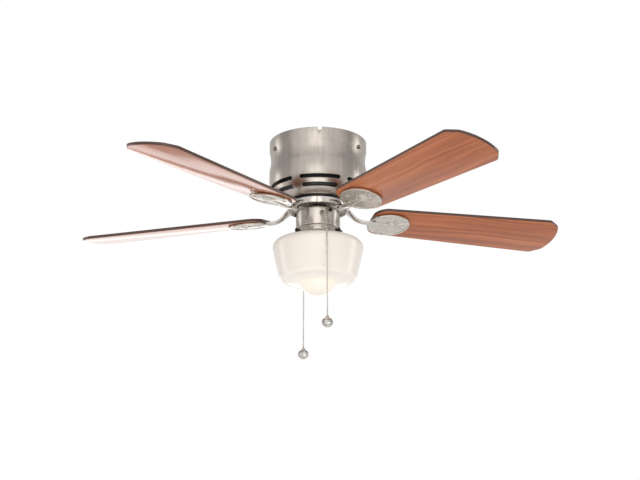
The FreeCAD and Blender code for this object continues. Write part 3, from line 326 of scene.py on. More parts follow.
def copperWindings(name):
    # rows of enamelled wire under varnish
    f = Finish(name, Metallic=0.9, Coat_Weight=0.5, Coat_Roughness=0.2)
    rows = f.node("ShaderNodeTexWave", {"bands_direction": "Z"}, {"Vector": f.place(), "Scale": 300.0, "Distortion": 2.5, "Detail": 2.0})
    blot = f.noise(f.place(), 120, 3.0)
    f.feed(Base_Color=f.mix(rows * 0.7 + blot * 0.3, (0.16, 0.04, 0.014), (0.52, 0.19, 0.07)), Roughness=blot * 0.2 + 0.22)
    return f.feed(Normal=f.bump(rows, 0.5, 0.0004)).material


def mouldedPlastic(name, tone, roughness=0.45):
    # spark-textured mould skin with faint flow marks
    f = Finish(name, IOR=1.48)
    grain = f.noise(f.place(), 1800, 2.0)
    flow = f.noise(f.place((1, 1, 3)), 50, 3.0)
    dark = tuple(v * 0.8 for v in tone)
    f.feed(Base_Color=f.mix(flow, dark, tone), Roughness=grain * 0.16 + flow * 0.06 + (roughness - 0.1))
    return f.feed(Normal=f.bump(grain, 0.15, 0.0002)).material


def glazedCeramic(name):
    f = Finish(name, Coat_Weight=0.8, Coat_Roughness=0.06)
    speck = f.span(f.noise(f.place(), 1400, 2.0), 0.7, 0.78)
    pool = f.noise(f.place(), 45, 3.0)
    glaze = f.mix(pool, (0.74, 0.72, 0.67), (0.83, 0.82, 0.78))
    f.feed(Base_Color=f.mix(speck * 0.5, glaze, (0.3, 0.24, 0.18)), Roughness=pool * 0.1 + 0.16)
    return f.feed(Normal=f.bump(pool, 0.06, 0.0006)).material


def frostedLamp(name):
    # inside-frosted bulb, brightest round the middle
    f = Finish(name, IOR=1.5, Emission_Strength=2.2)
    here = f.node("ShaderNodeTexCoord", out="Object")
    depth = f.node("ShaderNodeSeparateXYZ", values={0: here}, out="Z")
    middle = f.span(depth, -0.235, -0.262)
    frost = f.noise(f.place(), 500, 3.0)
    warm = f.mix(middle, (0.7, 0.42, 0.18), (1.0, 0.84, 0.55))
    f.feed(Base_Color=f.mix(frost, (0.84, 0.8, 0.72), (0.9, 0.87, 0.8)), Emission_Color=warm, Roughness=frost * 0.2 + 0.3)
    return f.feed(Normal=f.bump(frost, 0.04, 0.0002)).material


def paleFloor(name):
    f = Finish(name, Specular_IOR_Level=0.2, Emission_Strength=0.24)
    mottle = f.noise(f.place(), 3.0, 4.0)
    paint = f.mix(mottle, (0.86, 0.86, 0.86), (0.90, 0.90, 0.90))
    f.feed(Base_Color=paint, Emission_Color=paint, Roughness=mottle * 0.1 + 0.75)
    return f.material


finishes = {}


def makeFinishes():
    finishes["shell"] = brushedNickel("shellNickel", (0.56, 0.505, 0.455), (0.43, 0.385, 0.345), 0.30)
    # the shell's nickel painted lighter for the switch housing and fitter: a painted highlight for the light they
    # catch
    finishes["collar"] = brushedNickel("collarNickelPaintedBright", (0.63, 0.575, 0.525), (0.50, 0.45, 0.41), 0.26)
    finishes["arm"] = polishedNickel("armNickel", (0.66, 0.625, 0.575), (0.56, 0.525, 0.475), 0.2)
    finishes["chain"] = polishedNickel("chainNickel", (0.62, 0.595, 0.55), (0.42, 0.40, 0.37), 0.2)
    finishes["pendant"] = polishedNickel("pendantNickel", (0.66, 0.645, 0.61), (0.45, 0.435, 0.41), 0.14)
    finishes["bushing"] = polishedNickel("bushingNickel", (0.34, 0.30, 0.26), (0.2, 0.175, 0.15), 0.25)
    finishes["wood"] = cherryWood("cherryWood")
    finishes["opal"] = opalGlass("opalGlass")
    finishes["darkScrew"] = darkScrewSteel("darkScrewSteel")
    finishes["zinc"] = stampedSteel("zincSteel", (0.56, 0.57, 0.57))
    finishes["zincScrew"] = stampedSteel("zincScrewSteel", (0.50, 0.49, 0.46), 0.32)
    finishes["ground"] = stampedSteel("groundSteel", (0.62, 0.62, 0.62), 0.22)
    finishes["alloy"] = castAlloy("castAlloy", (0.16, 0.16, 0.165))
    finishes["core"] = laminatedSteel("laminatedSteel")
    finishes["copper"] = copperWindings("copperWindings")
    finishes["rubber"] = mouldedPlastic("blackRubber", (0.024, 0.024, 0.025), 0.75)
    finishes["fibre"] = mouldedPlastic("redFibre", (0.24, 0.09, 0.05), 0.7)
    finishes["white"] = mouldedPlastic("whiteNylon", (0.72, 0.71, 0.66))
    finishes["black"] = mouldedPlastic("blackPhenolic", (0.022, 0.021, 0.02), 0.4)
    finishes["leads"] = mouldedPlastic("leadInsulation", (0.62, 0.61, 0.58), 0.4)
    finishes["ceramic"] = glazedCeramic("glazedCeramic")
    finishes["cap"] = stampedSteel("lampCapAluminium", (0.68, 0.67, 0.64), 0.28)
    finishes["lamp"] = frostedLamp("frostedLamp")
    finishes["floor"] = paleFloor("paleFloor")


# the modelled CAD pieces that stay as they are, by finish
kept = {
    "darkScrew": ["switch_housing_screws"],
    "bushing": ["housing_screws"],
    "zincScrew": ["arm_screws", "blade_screws", "hanger_screws", "rotor_screws"],
    "zinc": ["ceiling_bracket", "hanger_posts", "hanger_plate", "switch_plate", "shaft_nuts", "fitter_nipple",
             "fitter_nuts"],
    "ground": ["motor_shaft", "bearing_inner_rings", "bearing_outer_rings", "bearing_balls"],
    "alloy": ["rotor_upper_cover", "rotor_lower_cover", "flywheel"],
    "core": ["stator_core", "rotor_core"],
    "copper": ["stator_windings"],
    "rubber": ["rubber_grommets"],
    "fibre": ["blade_washers"],
    "white": ["terminal_block"],
    "black": ["speed_switch", "light_switch", "reverse_switch", "reverse_knob", "run_capacitor"],
    "leads": ["supply_leads", "lamp_leads"],
    "ceramic": ["lamp_holder"],
    "cap": ["lamp_cap"],
    "lamp": ["lamp_envelope"],
}


def dressKept():
    for key, names in kept.items():
        for name in names:
            mesh = frame["nodes"][name].data
            mesh.materials.clear()
            mesh.materials.append(finishes[key])


# ---- modelling helpers --------------------------------------------------------------

def only(*pieces):
    for each in bpy.context.view_layer.objects:
        each.select_set(False)
    for piece in pieces:
        piece.select_set(True)
    bpy.context.view_layer.objects.active = pieces[0]


def editMode(piece, kind="VERT"):
    only(piece)
    bpy.ops.object.mode_set(mode="EDIT")
    bpy.ops.mesh.select_mode(type=kind)


def objectMode():
    bpy.ops.object.mode_set(mode="OBJECT")


def pick(piece, kind, wanted):
    # leaves the piece in edit mode, with the elements whose middle passes selected
    editMode(piece, kind)
    bpy.ops.mesh.select_all(action="DESELECT")
    objectMode()
    mesh = piece.data
    points = [v.co for v in mesh.vertices]
    if kind == "VERT":
        for vertex in mesh.vertices:
            vertex.select = wanted(vertex.co)
    if kind == "EDGE":
        for edge in mesh.edges:
            ends = [points[i] for i in edge.vertices]
            edge.select = wanted((ends[0] + ends[1]) / 2, (ends[1] - ends[0]).normalized())
    if kind == "FACE":
        for face in mesh.polygons:
            face.select = wanted(face.center, face.normal)
    bpy.ops.object.mode_set(mode="EDIT")


def settle(piece):
    only(piece)
    bpy.ops.object.transform_apply(location=True, rotation=True, scale=True)
    return piece


def drawn(name, points):
    # a line of vertices, extruded from point to point, in millimetres
    bpy.ops.mesh.primitive_plane_add(size=mm, location=Vector(points[0]) * mm)
    piece = bpy.context.object
    piece.name = piece.data.name = name
    editMode(piece)
    bpy.ops.mesh.select_all(action="SELECT")
    bpy.ops.mesh.merge(type="CENTER")
    for before, after in zip(points, points[1:]):
        step = (Vector(after) - Vector(before)) * mm
        bpy.ops.mesh.extrude_region_move(TRANSFORM_OT_translate={"value": step})
    objectMode()
    return settle(piece)


def tidyNormals(piece, merge=0.00001):
    editMode(piece)
    bpy.ops.mesh.select_all(action="SELECT")
    bpy.ops.mesh.remove_doubles(threshold=merge)
    bpy.ops.mesh.normals_make_consistent(inside=False)
    objectMode()


def turned(name, outline, steps=96, angle=360.0, start=0.0):
    # an outline of (radius, height), spun about the fan's axis
    piece = drawn(name, [(r, 0, z) for r, z in outline])
    piece.rotation_euler[2] = math.radians(start)
    settle(piece)
    editMode(piece)
    bpy.ops.mesh.select_all(action="SELECT")
    bpy.ops.mesh.remove_doubles(threshold=0.000001)
    bpy.ops.mesh.select_all(action="SELECT")
    bpy.ops.mesh.spin(steps=steps, angle=-math.radians(angle), center=(0, 0, 0), axis=(0, 0, 1))
    if angle < 360:
        bpy.ops.mesh.select_all(action="SELECT")
        bpy.ops.mesh.remove_doubles(threshold=0.000001)
        bpy.ops.mesh.select_all(action="DESELECT")
        bpy.ops.mesh.select_non_manifold()
        bpy.ops.mesh.fill_holes(sides=0)
    objectMode()
    tidyNormals(piece)
    return piece


def arc(start, middle, end, count=8):
    # points along the round stretch through three points, without the first
    (ax, ay), (bx, by), (cx, cy) = start, middle, end
    d = 2 * (ax * (by - cy) + bx * (cy - ay) + cx * (ay - by))
    a2, b2, c2 = ax * ax + ay * ay, bx * bx + by * by, cx * cx + cy * cy
    ux = (a2 * (by - cy) + b2 * (cy - ay) + c2 * (ay - by)) / d
    uy = (a2 * (cx - bx) + b2 * (ax - cx) + c2 * (bx - ax)) / d
    first, mid, last = (math.atan2(y - uy, x - ux) for x, y in (start, middle, end))
    sweep = (last - first) % turn
    if (mid - first) % turn > sweep:
        sweep -= turn
    radius = math.hypot(ax - ux, ay - uy)
    angles = [first + sweep * n / count for n in range(1, count + 1)]
    return [(ux + radius * math.cos(a), uy + radius * math.sin(a)) for a in angles]


def modified(piece, kind, **settings):
    only(piece)
    added = piece.modifiers.new(kind.lower(), kind)
    for key, value in settings.items():
        setattr(added, key, value)
    bpy.ops.object.modifier_apply(modifier=added.name)


def softened(piece, width, segments=2, angle=35):
    modified(piece, "BEVEL", width=width * mm, segments=segments, limit_method="ANGLE",
             angle_limit=math.radians(angle), use_clamp_overlap=True)


def smoothed(piece, angle=32):
    only(piece)
    bpy.ops.object.shade_smooth_by_angle(angle=math.radians(angle))


def joined(*pieces):
    only(*pieces)
    bpy.ops.object.join()
    return bpy.context.object


def twin(piece, name, spin=0.0, shift=(0, 0, 0)):
    copy = piece.copy()
    copy.data = piece.data.copy()
    copy.name = copy.data.name = name
    bpy.context.collection.objects.link(copy)
    copy.rotation_euler[2] = math.radians(spin)
    copy.location = Vector(shift) * mm
    return settle(copy)


def dress(piece, finish):
    piece.data.materials.clear()
    piece.data.materials.append(finishes[finish])


def lofted(name, stations, sides=20, cuts=3):
    # oval sections joined end to end: (centre, half height, half width, tilt in degrees)
    sections = []
    for centre, halfHeight, halfWidth, tilt in stations:
        bpy.ops.mesh.primitive_circle_add(vertices=sides, radius=1, location=Vector(centre) * mm)
        section = bpy.context.object
        section.rotation_euler = (0, turn / 4 + math.radians(tilt), 0)
        section.scale = (halfHeight * mm, halfWidth * mm, 1)
        sections.append(settle(section))
    piece = joined(*sections)
    piece.name = piece.data.name = name
    editMode(piece, "EDGE")
    bpy.ops.mesh.select_all(action="SELECT")
    bpy.ops.mesh.bridge_edge_loops(number_cuts=cuts, interpolation="SURFACE")
    bpy.ops.mesh.select_all(action="DESELECT")
    bpy.ops.mesh.select_mode(type="VERT")
    bpy.ops.mesh.select_non_manifold()
    bpy.ops.mesh.fill_holes(sides=0)
    objectMode()
    tidyNormals(piece)
    smoothed(piece, 60)
    return piece


# ---- pull chains --------------------------------------------------------------------

chainFacts = {
    "top": [(43.5, -168.0), (55.5, -168.0), (65.5, -174.6), (76.0, -187.0), (88.5, -204.5), (99.0, -226.0)],
    "beadRadius": 1.6, "beadPitch": 4.3, "linkRadius": 0.5, "travelFrom": -236.0,
}
chains = {
    "speed": {"angle": -79.0, "end": -400.0},
    "light": {"angle": 108.0, "end": -419.0},
}


def chainRoute(facts):
    a = math.radians(facts["angle"])
    points = chainFacts["top"] + [(99.0, facts["end"])]
    return [Vector((r * math.cos(a), r * math.sin(a), z)) * mm for r, z in points]


def smoothLine(name, points):
    # the route's own smooth line, as evenly read points
    curve = bpy.data.curves.new(name, "CURVE")
    curve.dimensions = "3D"
    spline = curve.splines.new("NURBS")
    spline.points.add(len(points) - 1)
    for control, point in zip(spline.points, points):
        control.co = (*point, 1)
    spline.order_u = 3
    spline.use_endpoint_u = True
    spline.resolution_u = 24
    holder = bpy.data.objects.new(name, curve)
    bpy.context.collection.objects.link(holder)
    bpy.context.view_layer.update()
    mesh = bpy.data.meshes.new_from_object(holder)
    line = [v.co.copy() for v in mesh.vertices]
    bpy.data.meshes.remove(mesh)
    bpy.data.objects.remove(holder)
    return line


def alongLine(line, spacing):
    # places one bead pitch apart along the line
    places, left = [line[0]], spacing
    for a, b in zip(line, line[1:]):
        gap, done = (b - a).length, 0.0
        while gap - done >= left:
            done += left
            places.append(a.lerp(b, done / gap))
            left = spacing
        left -= gap - done
    return places


def lineLength(line):
    return sum((b - a).length for a, b in zip(line, line[1:]))


def beadChain(name, facts):
    line = smoothLine(name + "Line", chainRoute(facts))
    curve = bpy.data.curves.new(name + "Link", "CURVE")
    curve.dimensions = "3D"
    spline = curve.splines.new("POLY")
    spline.points.add(len(line) - 1)
    for control, point in zip(spline.points, line):
        control.co = (*point, 1)
    curve.bevel_depth = chainFacts["linkRadius"] * mm
    curve.bevel_resolution = 1
    curve.use_fill_caps = True
    link = bpy.data.objects.new(name + "Link", curve)
    bpy.context.collection.objects.link(link)
    only(link)
    bpy.ops.object.convert(target="MESH")
    bpy.ops.mesh.primitive_uv_sphere_add(segments=8, ring_count=6, radius=chainFacts["beadRadius"] * mm)
    bead = bpy.context.object
    only(bead)
    bpy.ops.object.shade_smooth()
    beads = []
    for place in alongLine(line, chainFacts["beadPitch"] * mm):
        copy = bead.copy()
        copy.data = bead.data.copy()
        copy.location = place
        bpy.context.collection.objects.link(copy)
        beads.append(settle(copy))
    bpy.data.objects.remove(bead)
    chain = joined(link, *beads)
    chain.name = chain.data.name = name
    return chain, line


pendantFacts = {
    "radius": 11.9, "height": 21.0, "facets": 14, "rows": 9, "collarHeight": 4.0, "collarRadius": 3.3,
    "twist": 0.0,
}


def ballPendant(name, facts):
    # a faceted ball under a small turned collar
    a = math.radians(facts["angle"])
    top = facts["end"] - pendantFacts["collarHeight"]
    centre = (99.0 * math.cos(a), 99.0 * math.sin(a), top - pendantFacts["height"] / 2)
    bpy.ops.mesh.primitive_uv_sphere_add(segments=pendantFacts["facets"], ring_count=pendantFacts["rows"],
                                         radius=pendantFacts["radius"] * mm, location=Vector(centre) * mm)
    ball = bpy.context.object
    ball.scale[2] = pendantFacts["height"] / 2 / pendantFacts["radius"]
    settle(ball)
    middle = Vector(centre) * mm
    pick(ball, "FACE", lambda c, n: abs(c.z - middle.z) < 6.5 * mm)
    bpy.ops.mesh.inset(thickness=0.35 * mm, depth=-0.25 * mm, use_individual=True)
    objectMode()
    high = facts["end"]
    r = pendantFacts["collarRadius"]
    outline = [(0, high), (r * 0.62, high), (r * 0.8, high - 0.5), (r * 0.8, high - 1.6), (r, high - 2.2)]
    outline += [(r, high - 3.2), (r * 1.25, high - 4.0), (r * 1.25, high - 5.0), (0, high - 5.0)]
    collar = turned(name + "Collar", outline, 24)
    collar.location = Vector((centre[0], centre[1], 0)) * mm
    settle(collar)
    softened(collar, 0.2)
    smoothed(collar)
    softened(ball, 0.25, 1, 12)
    pendant = joined(ball, collar)
    pendant.name = pendant.data.name = name
    return pendant


bushingFacts = {"axisHeight": -168.0, "wall": 46.0, "reach": 53.0, "bore": 2.1}


def chainBushing(name, facts):
    # a turned nozzle with a bell mouth and a hexagon seat
    wall, reach, bore = bushingFacts["wall"], bushingFacts["reach"], bushingFacts["bore"]
    outline = [(bore, -3), (4.0, -3), (4.0, 0.3), (5.7, 0.3), (5.7, 2.4), (3.9, 2.9), (3.3, 4.6)]
    outline += [(3.1, 5.4), (3.6, 6.3), (3.7, 6.8), (3.1, 7.0), (2.6, 6.7), (bore, 5.6), (bore, -3)]
    piece = turned(name, outline, 36)
    softened(piece, 0.12)
    smoothed(piece, 28)
    piece.rotation_euler[1] = turn / 4
    piece.location = Vector((wall, 0, bushingFacts["axisHeight"])) * mm
    settle(piece)
    piece.rotation_euler[2] = math.radians(facts["angle"])
    return settle(piece)


def makeChains():
    bushings = []
    for key, facts in chains.items():
        body = key + "_pull"
        chain, line = beadChain(key + "BeadChain", facts)
        pendant = ballPendant(key + "BallPendant", facts)
        dress(chain, "chain")
        dress(pendant, "pendant")
        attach(pendant, body)
        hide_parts(key + "_pendant")
        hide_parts(key + "_chain_upper", key + "_chain_lower")
        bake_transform(chain)
        lineLength(line)
        bushings.append(chainBushing(key + "ChainBushing", facts))
    bell = joined(*bushings)
    bell.name = bell.data.name = "chainBushings"
    dress(bell, "bushing")
    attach(bell, "ceiling_unit")
    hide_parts("chain_bushings")


# ---- motor housing ------------------------------------------------------------------

housing = {
    "radius": 102.0, "wall": 1.2, "bowlCentre": (66.0, -84.01), "bowl": (36.0, 50.0), "mouthRadius": 70.0,
    "rimDrop": -20.0, "waist": -42.0, "waistDrop": -64.0, "waistDepth": 3.0, "slotCount": 6, "slotPhase": -87.4,
    "slotRows": ((-104.8, 8.0, 50.0), (-120.2, 7.2, 47.0)), "notches": (-88.0, 32.0, 152.0), "notchWidth": 9.0,
    "notchDepth": 5.0,
}


def bowlCurve(inset, count):
    # quarter ellipse from the upright wall to the mouth
    cx, cz = housing["bowlCentre"]
    a, b = housing["bowl"][0] - inset, housing["bowl"][1] - inset
    end = math.acos((housing["mouthRadius"] - cx) / a)
    return [(cx + a * math.cos(end * n / count), cz - b * math.sin(end * n / count)) for n in range(count + 1)]


def slotCutter(row, n):
    height, tall, span = row
    half = tall / 2
    start = housing["slotPhase"] + 360 / housing["slotCount"] * n - span / 2
    outline = [(72, height - half), (106, height - half), (106, height + half), (72, height + half)]
    outline.append(outline[0])
    cutter = turned("slotCutter", outline, 24, span, start)
    ends = [math.radians(start), math.radians(start + span)]
    normals = [Vector((math.cos(e), math.sin(e), 0)) for e in ends]

    def endEdge(c, d):
        return any(abs(d.dot(n)) > 0.99 and abs(c.cross(n).z) < 0.05 * mm and c.dot(n) > 0 for n in normals)

    pick(cutter, "EDGE", endEdge)
    bpy.ops.mesh.bevel(offset=half * 0.96 * mm, segments=5, affect="EDGES")
    objectMode()
    return cutter


def makeHousing():
    r, wall = housing["radius"], housing["wall"]
    rim, waist, foot, dip = (housing[key] for key in ("rimDrop", "waist", "waistDrop", "waistDepth"))
    outer = bowlCurve(0.0, 22)
    inner = bowlCurve(wall, 22)
    outline = [(r - wall, 0), (r - 0.3, 0), (r, -0.4), (r, rim)]
    outline += arc((r, rim), (r - dip, waist), (r, foot), 14) + outer
    low, inside = inner[::-1], r - wall
    outline += low + [(inside, foot)] + arc((inside, foot), (inside - dip, waist), (inside, rim), 14)
    outline.append((inside, 0))
    shell = turned("motorHousing", outline, 144)
    cutters = [slotCutter(row, n) for row in housing["slotRows"] for n in range(housing["slotCount"])]
    half = housing["notchWidth"] / 2
    for angle in housing["notches"]:
        bpy.ops.mesh.primitive_cylinder_add(vertices=28, radius=half * mm, depth=20 * mm)
        tip = bpy.context.object
        tip.rotation_euler[1] = turn / 4
        tip.location = Vector((r, 0, half / 2 - housing["notchDepth"])) * mm
        settle(tip)
        pick(tip, "FACE", lambda c, n: n.z > 0.5)
        bpy.ops.mesh.extrude_region_move(TRANSFORM_OT_translate={"value": (0, 0, 6 * mm)})
        objectMode()
        tip.rotation_euler[2] = math.radians(angle)
        cutters.append(settle(tip))
    cutter = joined(*cutters)
    tidyNormals(cutter)
    modified(shell, "BOOLEAN", object=cutter, operation="DIFFERENCE", solver="EXACT", use_self=True)
    bpy.data.objects.remove(cutter)
    softened(shell, 0.22, 2, 50)
    smoothed(shell, 30)
    dress(shell, "shell")
    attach(shell, "ceiling_unit")
    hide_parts("motor_housing")


# ---- blades -------------------------------------------------------------------------

bladeFacts = {
    "angles": [16.4 + 72.0 * n for n in range(5)], "pitch": 12.0, "height": -159.0, "thickness": 6.0,
    "tip": 533.4, "root": 115.0, "tipWidth": 132.0, "rootWidth": 101.0, "endWidth": 46.0, "rootCorner": 34.0,
    "tipCorner": (22.0, 18.0), "crown": 10.0, "cornerRound": 4.4, "edge": 1.0,
}


def bladeOutline():
    b = bladeFacts
    tipHalf, rootHalf, endHalf = b["tipWidth"] / 2, b["rootWidth"] / 2, b["endWidth"] / 2
    cornerX = b["tip"] - b["crown"]
    shoulderX = cornerX - b["tipCorner"][0]
    cornerHalf = tipHalf - b["tipCorner"][1]
    bend = (b["root"] + b["rootCorner"] * 0.24, endHalf + (rootHalf - endHalf) * 0.64)
    shoulder = (b["root"] + b["rootCorner"], rootHalf)
    lower = [(b["root"], -endHalf)]
    lower += arc(lower[0], (bend[0], -bend[1]), (shoulder[0], -shoulder[1]), 10)
    lower += [(shoulderX, -tipHalf), (cornerX, -cornerHalf)]
    crown = arc(lower[-1], (b["tip"], 0), (cornerX, cornerHalf), 16)
    upper = [(shoulderX, tipHalf), shoulder]
    upper += arc(shoulder, bend, (b["root"], endHalf), 10)
    return lower + crown + upper, (shoulderX, cornerX)


def makeBlades():
    b = bladeFacts
    half = b["thickness"] / 2
    outline, cornerXs = bladeOutline()
    model = drawn("bladeModel", [(x, y, -half) for x, y in outline])
    editMode(model)
    bpy.ops.mesh.select_all(action="SELECT")
    bpy.ops.mesh.edge_face_add()
    objectMode()
    corners = [(x, y) for x, y in outline if x in cornerXs]
    pick(model, "VERT", lambda c: any(math.dist((c.x, c.y), (x * mm, y * mm)) < 0.2 * mm for x, y in corners))
    bpy.ops.mesh.bevel(offset=b["cornerRound"] * mm, segments=6, affect="VERTICES")
    bpy.ops.mesh.select_all(action="SELECT")
    bpy.ops.mesh.extrude_region_move(TRANSFORM_OT_translate={"value": (0, 0, b["thickness"] * mm)})
    objectMode()
    tidyNormals(model)
    softened(model, b["edge"], 3, 40)
    # marks the side faces that get the painted shade along the blade's edge
    rim = model.data.attributes.new("rim", "FLOAT", "POINT")
    side = [0.0] * len(model.data.vertices)
    for face in model.data.polygons:
        if abs(face.normal.z) < 0.9:
            for v in face.vertices:
                side[v] = 1.0
    rim.data.foreach_set("value", side)
    smoothed(model, 40)
    for n, angle in enumerate(b["angles"], 1):
        blade = twin(model, f"blade{n}")
        layer = blade.data.uv_layers.new(name="grain")
        for loop in blade.data.loops:
            co = blade.data.vertices[loop.vertex_index].co
            layer.data[loop.index].uv = (co.x + 0.83 * n, co.y + 0.31 * n)
        blade.rotation_euler[0] = -math.radians(b["pitch"])
        blade.location[2] = b["height"] * mm
        settle(blade)
        blade.rotation_euler[2] = math.radians(angle)
        settle(blade)
        dress(blade, "wood")
        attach(blade, "rotor")
        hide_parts(f"blade_{n}")
    bpy.data.objects.remove(model)


# ---- blade arms ---------------------------------------------------------------------

armFacts = {
    "ringRadius": 64.0, "ringTop": -137.0, "ringBottom": -150.0, "ringWall": 2.5, "plate": 4.0, "bore": 22.0,
    "half": 35.6, "padRoot": 111.0, "padLength": 88.0, "padWidth": 80.0, "padThick": 3.2, "rimHigh": 1.6,
    "rimWide": 3.5, "rootHalf": 15.0, "widest": 54.6, "bossReach": 51.0,
    "screws": ((30.0, 24.0), (30.0, -24.0), (74.0, 0.0)),
    "strap": (
        ((60.8, 0, -144.6), 3.4, 15.0, 8), ((66.5, 0, -147.0), 3.6, 12.5, 32), ((73.0, 0, -152.4), 3.8, 9.5, 44),
        ((81.0, 0, -159.4), 3.9, 8.2, 36), ((90.0, 0, -163.8), 3.8, 8.4, 18), ((101.0, 0, -165.6), 3.5, 10.0, 6),
        ((113.0, 0, -166.0), 2.9, 12.5, 0), ((124.0, 0, -165.9), 2.2, 11.0, 0),
    ),
}


def padEdge(inset):
    # rounded spade, narrow where the strap joins
    a = armFacts
    x0, x1 = a["padRoot"] + inset, a["padRoot"] + a["padLength"] - inset
    half = a["padWidth"] / 2 - inset
    root = a["rootHalf"] - inset * 0.5
    wide = a["padRoot"] + a["widest"]
    neck = (x0 + (wide - x0) * 0.42, half * 0.92)
    nose = (x1 - (x1 - wide) * 0.24, half * 0.62)
    edge = [(x0, -root)]
    edge += arc(edge[-1], (neck[0], -neck[1]), (wide, -half), 12)
    edge += arc(edge[-1], (nose[0], -nose[1]), (x1, 0), 10)
    edge += arc(edge[-1], nose, (wide, half), 10)
    edge += arc(edge[-1], neck, (x0, root), 12)
    return edge


def slab(name, edge, low, high):
    piece = drawn(name, [(x, y, low) for x, y in edge])
    editMode(piece)
    bpy.ops.mesh.select_all(action="SELECT")
    bpy.ops.mesh.edge_face_add()
    bpy.ops.mesh.extrude_region_move(TRANSFORM_OT_translate={"value": (0, 0, (high - low) * mm)})
    objectMode()
    tidyNormals(piece)
    return piece


def padScrewSeat(low):
    # a small raised ring with the screw's end sunk in it
    outline = [(0, low + 0.5), (4.8, low + 0.5), (4.8, low - 0.4), (4.2, low - 0.9), (3.1, low - 0.9)]
    outline += [(2.7, low - 0.5), (2.2, low - 0.5), (1.8, low - 0.2), (0, low - 0.2)]
    seat = turned("padScrewSeat", outline, 24)
    smoothed(seat, 25)
    return seat


def armPad():
    # the plate under the blade: raised rim, stepped boss, rib and rays running from it
    a = armFacts
    top = -4.0
    low = top - a["padThick"]
    plate = slab("padPlate", padEdge(0.0), low - a["rimHigh"], top)
    pick(plate, "FACE", lambda c, n: n.z < -0.9)
    bpy.ops.mesh.inset(thickness=a["rimWide"] * mm)
    bpy.ops.mesh.extrude_region_move(TRANSFORM_OT_translate={"value": (0, 0, a["rimHigh"] * mm)})
    objectMode()
    softened(plate, 0.6, 3)
    smoothed(plate, 40)
    bossX = a["padRoot"] + a["bossReach"]
    rings = [(0, low + 1), (15.0, low + 1), (15.0, low - 1.0), (13.6, low - 1.5), (12.2, low - 0.7)]
    rings += [(10.4, low - 0.7), (9.2, low - 2.0), (7.2, low - 2.3), (6.2, low - 1.4), (5.4, low - 2.2)]
    rings += arc(rings[-1], (3.4, low - 3.6), (0, low - 4.0), 5)
    boss = turned("padBoss", rings, 48)
    boss.location[0] = bossX * mm
    settle(boss)
    softened(boss, 0.3, 2)
    smoothed(boss, 30)
    stations = [((a["padRoot"] - 2, 0, low - 0.2), 2.4, 10.5, 0), ((a["padRoot"] + 14, 0, low - 0.1), 2.3, 7.5, 0)]
    stations += [((bossX - 12, 0, low), 1.9, 4.6, 0)]
    parts = [plate, boss, lofted("padRib", stations)]
    for side in (-1, 1):
        ray = [((bossX + 10, side * 5, low), 1.3, 2.2, 0), ((bossX + 30, side * 14, low), 0.7, 1.4, 0)]
        parts.append(lofted("padRay", ray, 12))
    seat = padScrewSeat(low)
    for x, y in a["screws"]:
        parts.append(twin(seat, "padSeat", 0, (a["padRoot"] + x, y, 0)))
    bpy.data.objects.remove(seat)
    pad = joined(*parts)
    pad.rotation_euler[0] = -math.radians(bladeFacts["pitch"])
    pad.location[2] = bladeFacts["height"] * mm
    return settle(pad)


def makeArms():
    a = armFacts
    top, bottom, r = a["ringTop"], a["ringBottom"], a["ringRadius"]
    outline = [(a["bore"], top), (r - 0.8, top), (r, top - 0.8), (r, bottom + 1.2)]
    outline += arc(outline[-1], (r - 0.4, bottom + 0.3), (r - 1.2, bottom), 3)
    outline += [(r - a["ringWall"], bottom), (r - a["ringWall"], top - a["plate"]), (a["bore"], top - a["plate"])]
    outline.append(outline[0])
    ring = turned("armRing", outline, 30, 2 * a["half"], -a["half"])
    softened(ring, 0.25, 2, 60)
    smoothed(ring, 30)
    strap = lofted("armStrap", a["strap"], 28, 5)
    arm = joined(ring, strap, armPad())
    arm.name = arm.data.name = "armModel"
    for n, angle in enumerate(bladeFacts["angles"], 1):
        piece = twin(arm, f"bladeArm{n}", angle)
        dress(piece, "arm")
        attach(piece, "rotor")
        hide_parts(f"blade_arm_{n}")
    bpy.data.objects.remove(arm)


# ---- switch housing, fitter and thumb screws ----------------------------------------

collar = {
    "radius": 46.0, "wall": 1.0, "top": -152.5, "bottom": -191.0, "fitterTop": -191.02, "fitterBottom": -204.02,
    "fitterRadius": 46.4, "fitterInner": 45.2, "rim": 1.4, "thumbHeight": -198.02, "thumbAngles": (-151, -31, 89),
    "screwBore": 4.8, "window": {"angle": 146.0, "middle": -159.5, "halfWidth": 2.9, "halfHeight": 4.9},
}


def cutWindow(cup):
    # the opening that the reverse slider moves in
    window = collar["window"]
    bpy.ops.mesh.primitive_cube_add(size=1, location=(collar["radius"] * mm, 0, window["middle"] * mm))
    cutter = bpy.context.object
    cutter.scale = (8 * mm, 2 * window["halfWidth"] * mm, 2 * window["halfHeight"] * mm)
    settle(cutter)
    pick(cutter, "EDGE", lambda c, d: abs(d.x) > 0.9)
    bpy.ops.mesh.bevel(offset=0.8 * mm, segments=4, affect="EDGES")
    objectMode()
    cutter.rotation_euler[2] = math.radians(window["angle"])
    settle(cutter)
    modified(cup, "BOOLEAN", object=cutter, operation="DIFFERENCE", solver="EXACT")
    bpy.data.objects.remove(cutter)


